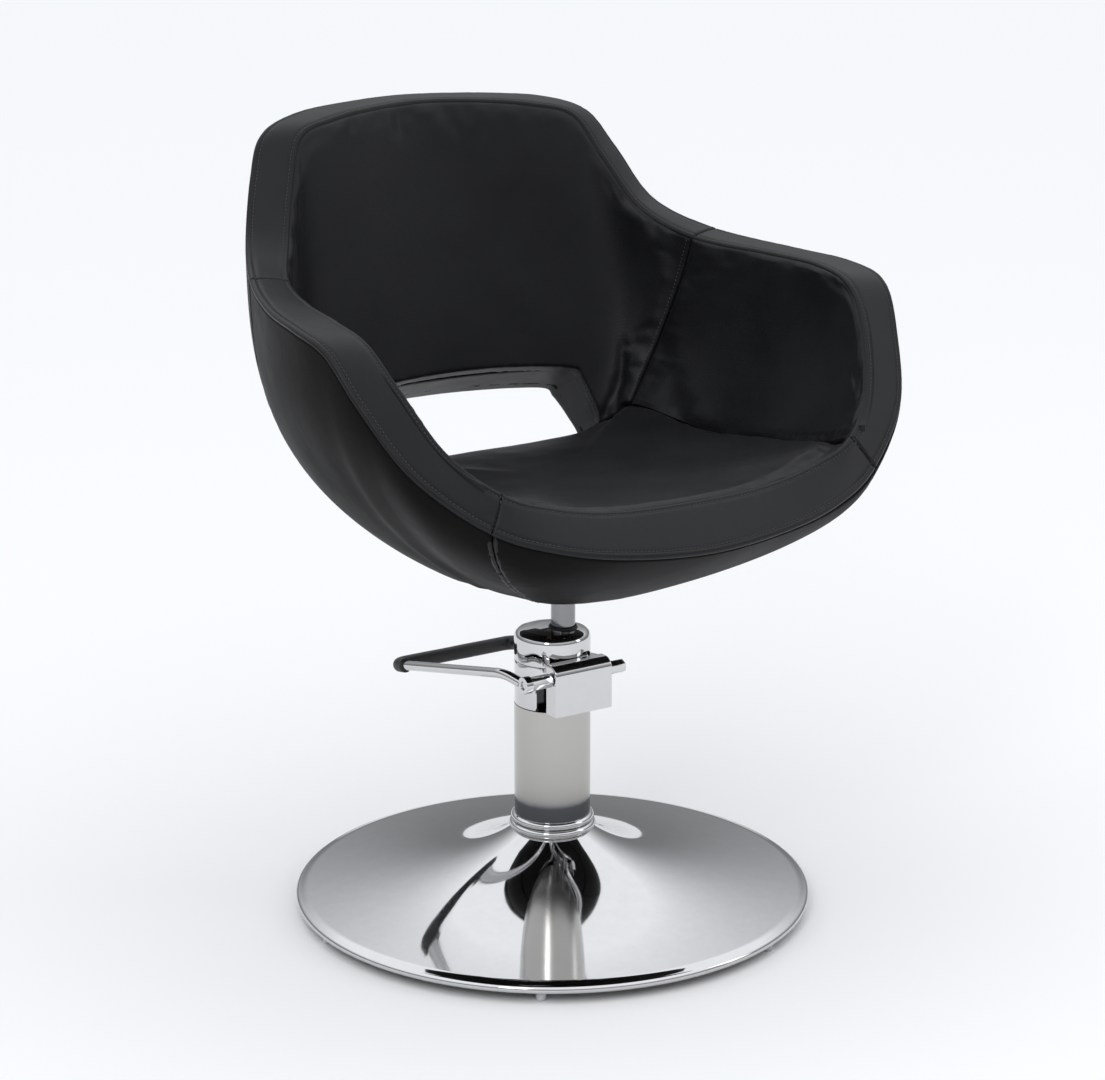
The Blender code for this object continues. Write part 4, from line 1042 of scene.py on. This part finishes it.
def make_rim():
    spans = {
        "rim_band_back": ("rim_back", BACK_SEAM, AROUND - BACK_SEAM, 150),
        "rim_band_arm_left": ("rim_arm_left", FRONT_SEAM, BACK_SEAM, 90),
        "rim_band_arm_right": ("rim_arm_right", AROUND - BACK_SEAM, AROUND - FRONT_SEAM, 90),
        "rim_band_front": ("rim_front", -FRONT_SEAM, FRONT_SEAM, 90),
    }
    made = {}
    for seed, (name, (node, low, high, count)) in enumerate(spans.items()):
        sheet = Sheet(band, edged_ways(low, high, count), 14)
        across = sheet.from_top / (sheet.from_top + sheet.from_bottom)
        near = sheet.border()
        sheet.push(0.0020 + 0.0014 * (1 - (2 * across - 1) ** 2))
        outwards = np.exp(-sheet.from_top / 0.012) * 0.0026
        sheet.places = sheet.places + sheet.outward * outwards[..., None]
        sheet.groove(sheet.from_top)
        sheet.groove(sheet.from_bottom)
        sheet.pucker(near, 0.00035, seed, 0.010, 0.006)
        sheet.push(0.0005 * wobble(sheet.rest, 0.060, seed + 5))
        sheet.roll(near, 0.0040, 0.0042)
        obj = sheet.solid(name, LEATHER, 0.0060)
        made[name] = (obj, sheet)
        finished(obj, "chair", "black_leather", node)
    return made


def make_inner(cutter):
    made = {}
    spans = {
        "back_pad": ("inner_back_pad", BACK_SEAM, AROUND - BACK_SEAM, 120, 70, 0.0050),
        "arm_pad_left": ("inner_arm_pad_left", FRONT_SEAM + 0.30, BACK_SEAM, 80, 50, 0.0045),
        "arm_pad_right": ("inner_arm_pad_right", AROUND - BACK_SEAM, AROUND - FRONT_SEAM - 0.30, 80, 50, 0.0045),
    }
    for seed, (name, (node, low, high, count, rows, cap)) in enumerate(spans.items()):
        sheet = Sheet(inner_wall, edged_ways(low, high, count), rows, start=0.0008, end=1.0)
        near = sheet.border(bottom=False)
        puff = swollen(name, sheet, cap)
        sheet.push(puff)
        sheet.push(0.0012 + 0.0010 * (1 - np.exp(-near / 0.02)))
        sheet.pucker(sheet.border(top=False, bottom=False), 0.0006, seed, 0.014, 0.009)
        sheet.pucker(sheet.border(bottom=False), 0.0003, seed + 3, 0.012, 0.012)
        sheet.push(0.0009 * wobble(sheet.rest, 0.085, seed + 11))
        sheet.roll(near, 0.0042, 0.0045)
        obj = sheet.solid(name, LEATHER, 0.0100)
        if name == "back_pad":
            cut(obj, cutter(0.0006))
            softened(obj)
        made[name] = (obj, sheet)
        finished(obj, "chair", "black_leather", node)
    return made


def make_outer(cutter):
    made = {}
    spans = {
        "outer_back": ("outer_back_panel", BACK_SEAM, AROUND - BACK_SEAM, 120),
        "outer_arm_left": ("outer_arm_panel_left", FRONT_SEAM, BACK_SEAM, 80),
        "outer_arm_right": ("outer_arm_panel_right", AROUND - BACK_SEAM, AROUND - FRONT_SEAM, 80),
        "outer_front": ("outer_front_panel", -FRONT_SEAM, FRONT_SEAM, 80),
    }
    for seed, (name, (node, low, high, count)) in enumerate(spans.items()):
        ways = edged_ways(low, high, count)
        sheet = Sheet(outer_shell, ways, 64, start=0.0016, end=UNDERSIDE_FROM, face=-1.0)
        near = sheet.border()
        sides = sheet.border(top=False, bottom=False)
        sheet.push(0.0026)
        sheet.pucker(sides, 0.0007, seed + 20, 0.016, 0.010)
        sheet.pucker(near, 0.0003, seed + 25, 0.012, 0.012)
        sheet.push(0.0005 * wobble(sheet.rest, 0.160, seed + 31))
        sheet.roll(near, 0.0040, 0.0042)
        obj = sheet.solid(name, SHADED_OUTER_LEATHER, 0.0070)
        if name == "outer_back":
            cut(obj, cutter(0.0006))
            softened(obj, 0.0026)
        made[name] = (obj, sheet)
        finished(obj, "chair", "black_leather", node)
    ways = np.linspace(0, AROUND, 181)
    sheet = Sheet(outer_shell, ways, 40, start=0.0, end=POLE_HOLE, face=-1.0)
    shares, run = run_of(outer_shell, ways, 1.0)
    from_seam = np.array([np.interp(UNDERSIDE_FROM, shares, line) for line in run])
    rows = np.linspace(0, 1, 40)
    last = np.array([np.interp(POLE_HOLE, shares, line) for line in run])
    lines = from_seam[:, None] + (last - from_seam)[:, None] * rows[None, :] ** 1.3
    downs = np.array([np.interp(row, line, shares) for row, line in zip(lines, run)])
    sheet.ways = np.broadcast_to(ways[:, None], downs.shape)
    sheet.places = outer_shell(sheet.ways, downs)
    sheet.normals = -normals_of(outer_shell, sheet.ways, downs)
    sheet.rest = sheet.places.copy()
    near = lines - lines[:, :1]
    sheet.pucker(near, 0.0006, 41, 0.015, 0.012)
    sheet.roll(near, 0.0045, 0.0040)
    under = sheet.solid("underside", SHADED_OUTER_LEATHER, 0.0060)
    finished(under, "chair", "black_leather", "underside_panel")
    made["underside"] = (under, sheet)
    return made


def make_liner():
    """The leather that lines the window, gathered a little at its corners."""
    ((inner, outer),) = window_rings([0.0], 16)
    ((inner_back, outer_back),) = window_rings([0.0045], 16)
    depth = np.concatenate(((0.0, 0.02, 0.05, 0.09), np.linspace(0.14, 0.86, 16), (0.91, 0.95, 0.98, 1.0)))
    count = len(inner)
    verts = []
    for share in depth:
        place = inner * (1 - share) + outer * share
        back = inner_back * (1 - share) + outer_back * share
        out = back - place
        out /= np.linalg.norm(out, axis=1)[:, None]
        edge = min(share, 1 - share) / 0.09
        sink = 0.0030 * (1 - math.sqrt(1 - (1 - min(edge, 1.0)) ** 2)) if edge < 1 else 0.0
        gather = 0.0002 * wobble(place, 0.014, 51)
        verts.extend(place + out * (sink + gather + 0.0006)[:, None] + TUB_AXIS)
    for share in depth:
        verts.extend(inner_back * (1 - share) + outer_back * share + TUB_AXIS)
    rows = len(depth)
    faces = []
    for row in range(rows - 1):
        for index in range(count):
            after = (index + 1) % count
            first, second = row * count, (row + 1) * count
            faces.append((first + index, first + after, second + after, second + index))
            first, second = first + rows * count, second + rows * count
            faces.append((first + index, second + index, second + after, first + after))
    for first, second in ((0, rows * count), ((rows - 1) * count, (2 * rows - 1) * count)):
        for index in range(count):
            after = (index + 1) % count
            faces.append((first + index, second + index, second + after, first + after))
    liner = new_object("window_lining", verts, faces, LEATHER)
    return finished(liner, "chair", "black_leather", "window_liner")


def make_seat():
    """The seat pad: a closed form under the seat's surface, puffed up as cloth."""
    ways = np.linspace(0, AROUND, 120, endpoint=False)
    shares = np.concatenate((np.linspace(0.04, 0.90, 24), np.linspace(0.93, 1.0, 8)))
    stations = np.minimum(ways, AROUND - ways)
    reach = 1 + 0.050 * (np.clip((stations - 3.2) / 1.2, 0, 1) * np.clip(12.0 - stations, 0, 1))[:, None]
    shares = shares[None, :] * (1 + (reach - 1) * (shares[None, :] > 0.92))
    top = seat_top(ways[:, None], shares)
    low = seat_top(ways[:, None], shares * 0.97) - (0.0, 0.0, 0.030)
    low[..., 2] = np.maximum(low[..., 2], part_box("seat_cushion")[0].z - LIFT)
    verts = [seat_top(0.0, 0.0), np.array((0.0, 0.0, low[..., 2].min()))]
    n, m = top.shape[:2]
    verts += list(top.reshape(-1, 3)) + list(low.reshape(-1, 3))
    faces = []
    for i in range(n):
        j = (i + 1) % n
        first, second = 2 + i * m, 2 + j * m
        faces.append((0, first, second))
        faces.append((1, second + n * m, first + n * m))
        faces.append((first + m - 1, first + m - 1 + n * m, second + m - 1 + n * m, second + m - 1))
        for k in range(m - 1):
            faces.append((first + k, first + k + 1, second + k + 1, second + k))
            faces.append((first + k + n * m, second + k + n * m, second + k + 1 + n * m, first + k + 1 + n * m))
    seat = new_object("seat_pad", np.array(verts) + TUB_AXIS, faces, LEATHER)
    add_modifier(seat, "REMESH", mode="VOXEL", voxel_size=0.005, use_smooth_shade=True)
    add_modifier(seat, "SMOOTH", factor=0.5, iterations=3)
    baked(seat)
    puffed(seat, 0.0050)
    add_modifier(seat, "SUBSURF", levels=1, render_levels=1)
    baked(seat)
    places = np.array([v.co for v in seat.data.vertices])
    lift = 0.0010 * wobble(places, 0.09, 61) + 0.0004 * wobble(places, 0.03, 62)
    normals = np.array([v.normal for v in seat.data.vertices])
    places = places + normals * (lift * np.clip(normals[:, 2], 0, 1))[:, None]
    seat.data.vertices.foreach_set("co", places.astype(np.float32).ravel())
    seat.data.update()
    seat.data.shade_smooth()
    finished(seat, "chair", "black_leather", "seat_cushion")
    return seat


def puffed(obj, cap, pressure=4.0, frames=20):
    """The closed skin puffed up as cloth, no point moving further than the cap."""
    before = np.array([v.co for v in obj.data.vertices])
    cloth = obj.modifiers.new("cloth", "CLOTH")
    cloth.settings.quality = 5
    cloth.settings.mass = 0.4
    cloth.settings.tension_stiffness = 20.0
    cloth.settings.compression_stiffness = 20.0
    cloth.settings.bending_stiffness = 1.5
    cloth.settings.use_pressure = True
    cloth.settings.uniform_pressure_force = pressure
    cloth.settings.effector_weights.gravity = 0.0
    cloth.point_cache.frame_start = 1
    cloth.point_cache.frame_end = frames
    scene = bpy.context.scene
    for number in range(1, frames + 1):
        scene.frame_set(number)
    graph = bpy.context.evaluated_depsgraph_get()
    after = np.array([v.co for v in obj.evaluated_get(graph).to_mesh().vertices])
    obj.modifiers.clear()
    scene.frame_set(1)
    move = after - before
    length = np.linalg.norm(move, axis=1)
    move *= np.minimum(1.0, cap / np.maximum(length, 1e-9))[:, None]
    obj.data.vertices.foreach_set("co", (before + move).astype(np.float32).ravel())
    obj.data.update()


def make_piping():
    """The two rolled ridges of each seam at the front corners, gathered like a sewn fold."""
    for side, way in (("left", FRONT_SEAM), ("right", AROUND - FRONT_SEAM)):
        shares, run = run_of(outer_shell, np.array([float(way)]), 1.0)
        rows = np.linspace(0.0035, np.interp(UNDERSIDE_FROM - 0.005, shares, run[0]), 110)
        downs = np.interp(rows, run[0], shares)
        verts, faces = [], []
        for ridge, seed in ((-1, 71), (1, 72)):
            ways = np.full(len(downs), float(way))
            centre = outer_shell(ways, downs)
            normal = -normals_of(outer_shell, ways, downs)
            along = np.gradient(centre, axis=0)
            along /= np.linalg.norm(along, axis=1)[:, None]
            across = np.cross(normal, along)
            gather = wobble(np.stack((rows, rows * 0, rows * 0 + seed), -1), 0.0062, seed)
            ends = np.clip(np.minimum(rows - rows[0], rows[-1] - rows) / 0.006, 0.15, 1.0) ** 0.5
            radius = (0.0026 + 0.0006 * gather) * ends
            path = centre + across * (ridge * 0.0031) + normal * (0.0002 + 0.0003 * gather)[:, None] + TUB_AXIS
            piece = sweep("ridge", path, radius, PIPING, 14)
            base = len(verts)
            verts.extend([tuple(v.co) for v in piece.data.vertices])
            faces.extend([tuple(base + i for i in p.vertices) for p in piece.data.polygons])
            bpy.data.objects.remove(piece, do_unlink=True)
        piping = new_object(f"corner_piping_{side}", verts, faces, PIPING)
        finished(piping, "chair", "black_leather", f"front_piping_{side}")


def along_rim(low, high, from_outer=None, from_inner=None, margin=0.004, surface=band):
    """A path on the band at a fixed distance from one of its edges."""
    step = margin / 0.075
    ways = np.linspace(low + step, high - step, 400)
    outer = band(ways, np.zeros(400))
    inner = band(ways, np.ones(400))
    width = np.linalg.norm(inner - outer, axis=1)
    across = from_outer / width if from_outer is not None else 1 - from_inner / width
    return band(ways, across) + TUB_AXIS


def make_stitching(rim, inner):
    rows = Stitches()
    spans = {
        "rim_band_back": (BACK_SEAM, AROUND - BACK_SEAM),
        "rim_band_arm_left": (FRONT_SEAM, BACK_SEAM),
        "rim_band_arm_right": (AROUND - BACK_SEAM, AROUND - FRONT_SEAM),
        "rim_band_front": (-FRONT_SEAM, FRONT_SEAM),
    }
    for name, (low, high) in spans.items():
        rows.row(along_rim(low, high, from_outer=0.0061), rim[name][0])
        rows.row(along_rim(low, high, from_inner=0.0061), rim[name][0])
    across = np.linspace(0.06, 0.94, 30)
    for seam, arm in ((FRONT_SEAM, "rim_band_arm_left"), (-FRONT_SEAM, "rim_band_arm_right")):
        for side in (-1, 1):
            name = "rim_band_front" if side * seam < 0 else arm
            way = seam + side * 0.0030 / 0.085
            path = band(np.full(30, float(way)), across) + TUB_AXIS
            rows.row(path, rim[name][0])
    rim_thread = rows.piece("rim_stitching")
    finished(rim_thread, "chair", "black_leather")
    rows = Stitches()
    back = inner["back_pad"][0]
    for way in (BACK_SEAM + 0.075, AROUND - BACK_SEAM - 0.075):
        downs = np.linspace(0.02, 0.97, 60)
        rows.row(inner_wall(np.full(60, float(way)), downs) + TUB_AXIS, back)
    for grow in (0.0060, 0.0120):
        ((face, _),) = window_rings([grow], 16)
        half = len(face) // 2
        for part in (face[: half + 1], face[half:]):
            legs = part[(part[:, 2] > 0.506) & (part[:, 2] < 0.572) & (np.abs(part[:, 0]) > 0.150)]
            if len(legs) > 4:
                rows.row(legs + TUB_AXIS, back)
    pad_thread = rows.piece("pad_stitching")
    finished(pad_thread, "chair", "black_leather")


# --- Build ---------------------------------------------------------------------------------------

for node, obj in frame["nodes"].items():
    slot = next(part["material_slot"] for part in frame["record"]["subparts"] if part["node"] == node)
    if not obj.data.materials:
        obj.data.materials.append(None)
    for index in range(len(obj.material_slots)):
        obj.material_slots[index].link = "OBJECT"
        obj.material_slots[index].material = SLOT_LOOKS[slot]

make_base()
make_tube()
make_head()
make_ram()
make_cover()
make_lever()
rim_pieces = make_rim()
inner_pieces = make_inner(window_cutter)
outer_pieces = make_outer(window_cutter)
make_liner()
make_seat()
make_piping()
make_stitching(rim_pieces, inner_pieces)

# --- Studio --------------------------------------------------------------------------------------


def area_light(name, place, target, size, power, colour=(1.0, 1.0, 1.0)):
    data = bpy.data.lights.new(name, "AREA")
    data.shape = "RECTANGLE"
    data.size, data.size_y = size
    data.energy = power
    data.color = colour
    light = bpy.data.objects.new(name, data)
    light.location = place
    light.rotation_euler = (Vector(target) - Vector(place)).to_track_quat("-Z", "Y").to_euler()
    bpy.context.scene.collection.objects.link(light)
    return light


def make_sky():
    """A plain sky that brightens towards the top, as a ceiling of soft boxes does."""
    world = bpy.data.worlds.new("studio")
    world.use_nodes = True
    nodes = world.node_tree.nodes
    links = world.node_tree.links
    background = nodes["Background"]
    background.inputs["Color"].default_value = (0.95, 0.97, 1.0, 1.0)
    where = nodes.new("ShaderNodeTexCoord")
    split = nodes.new("ShaderNodeSeparateXYZ")
    links.new(where.outputs["Generated"], split.inputs["Vector"])
    value = split.outputs["Z"]
    steps = (("MAXIMUM", 0.0, 0.0), ("POWER", 2.18, 0.0), ("MULTIPLY_ADD", 3.0, 0.24), ("MINIMUM", 1.30, 0.0))
    for operation, amount, offset in steps:
        step = nodes.new("ShaderNodeMath")
        step.operation = operation
        links.new(value, step.inputs[0])
        step.inputs[1].default_value = amount
        step.inputs[2].default_value = offset
        value = step.outputs[0]
    links.new(value, background.inputs["Strength"])
    return world


def make_studio():
    mesh = bpy.data.meshes.new("floor")
    size = 40.0
    mesh.from_pydata([(-size, -size, 0), (size, -size, 0), (size, size, 0), (-size, size, 0)], [], [(0, 1, 2, 3)])
    floor = bpy.data.objects.new("floor", mesh)
    bpy.context.scene.collection.objects.link(floor)
    material, add, join, fixed = new_material("pale_floor")
    fixed(Base_Color=(0.90, 0.90, 0.90, 1.0), Roughness=0.85, Specular_IOR_Level=0.1)
    mesh.materials.append(material)
    middle = (0.0, 0.0, 0.5)
    area_light("key", (-2.3, -1.9, 2.3), middle, (0.7, 1.4), 18.0)
    area_light("fill", (2.6, -2.0, 1.8), middle, (0.8, 1.8), 8.0)
    bpy.context.scene.world = make_sky()


def set_tones():
    view = bpy.context.scene.view_settings
    view.view_transform = "Standard"
    view.look = "None"


def make_camera():
    data = bpy.data.cameras.new("camera")
    data.sensor_width = 36.0
    data.lens = 92.1
    data.clip_end = 200.0
    camera = bpy.data.objects.new("camera", data)
    camera.location = (-1.710, -2.578, 1.285)
    camera.rotation_euler = (math.radians(74.64), 0.0, math.radians(-33.56))
    bpy.context.scene.collection.objects.link(camera)
    bpy.context.scene.camera = camera


make_studio()
set_tones()
make_camera()
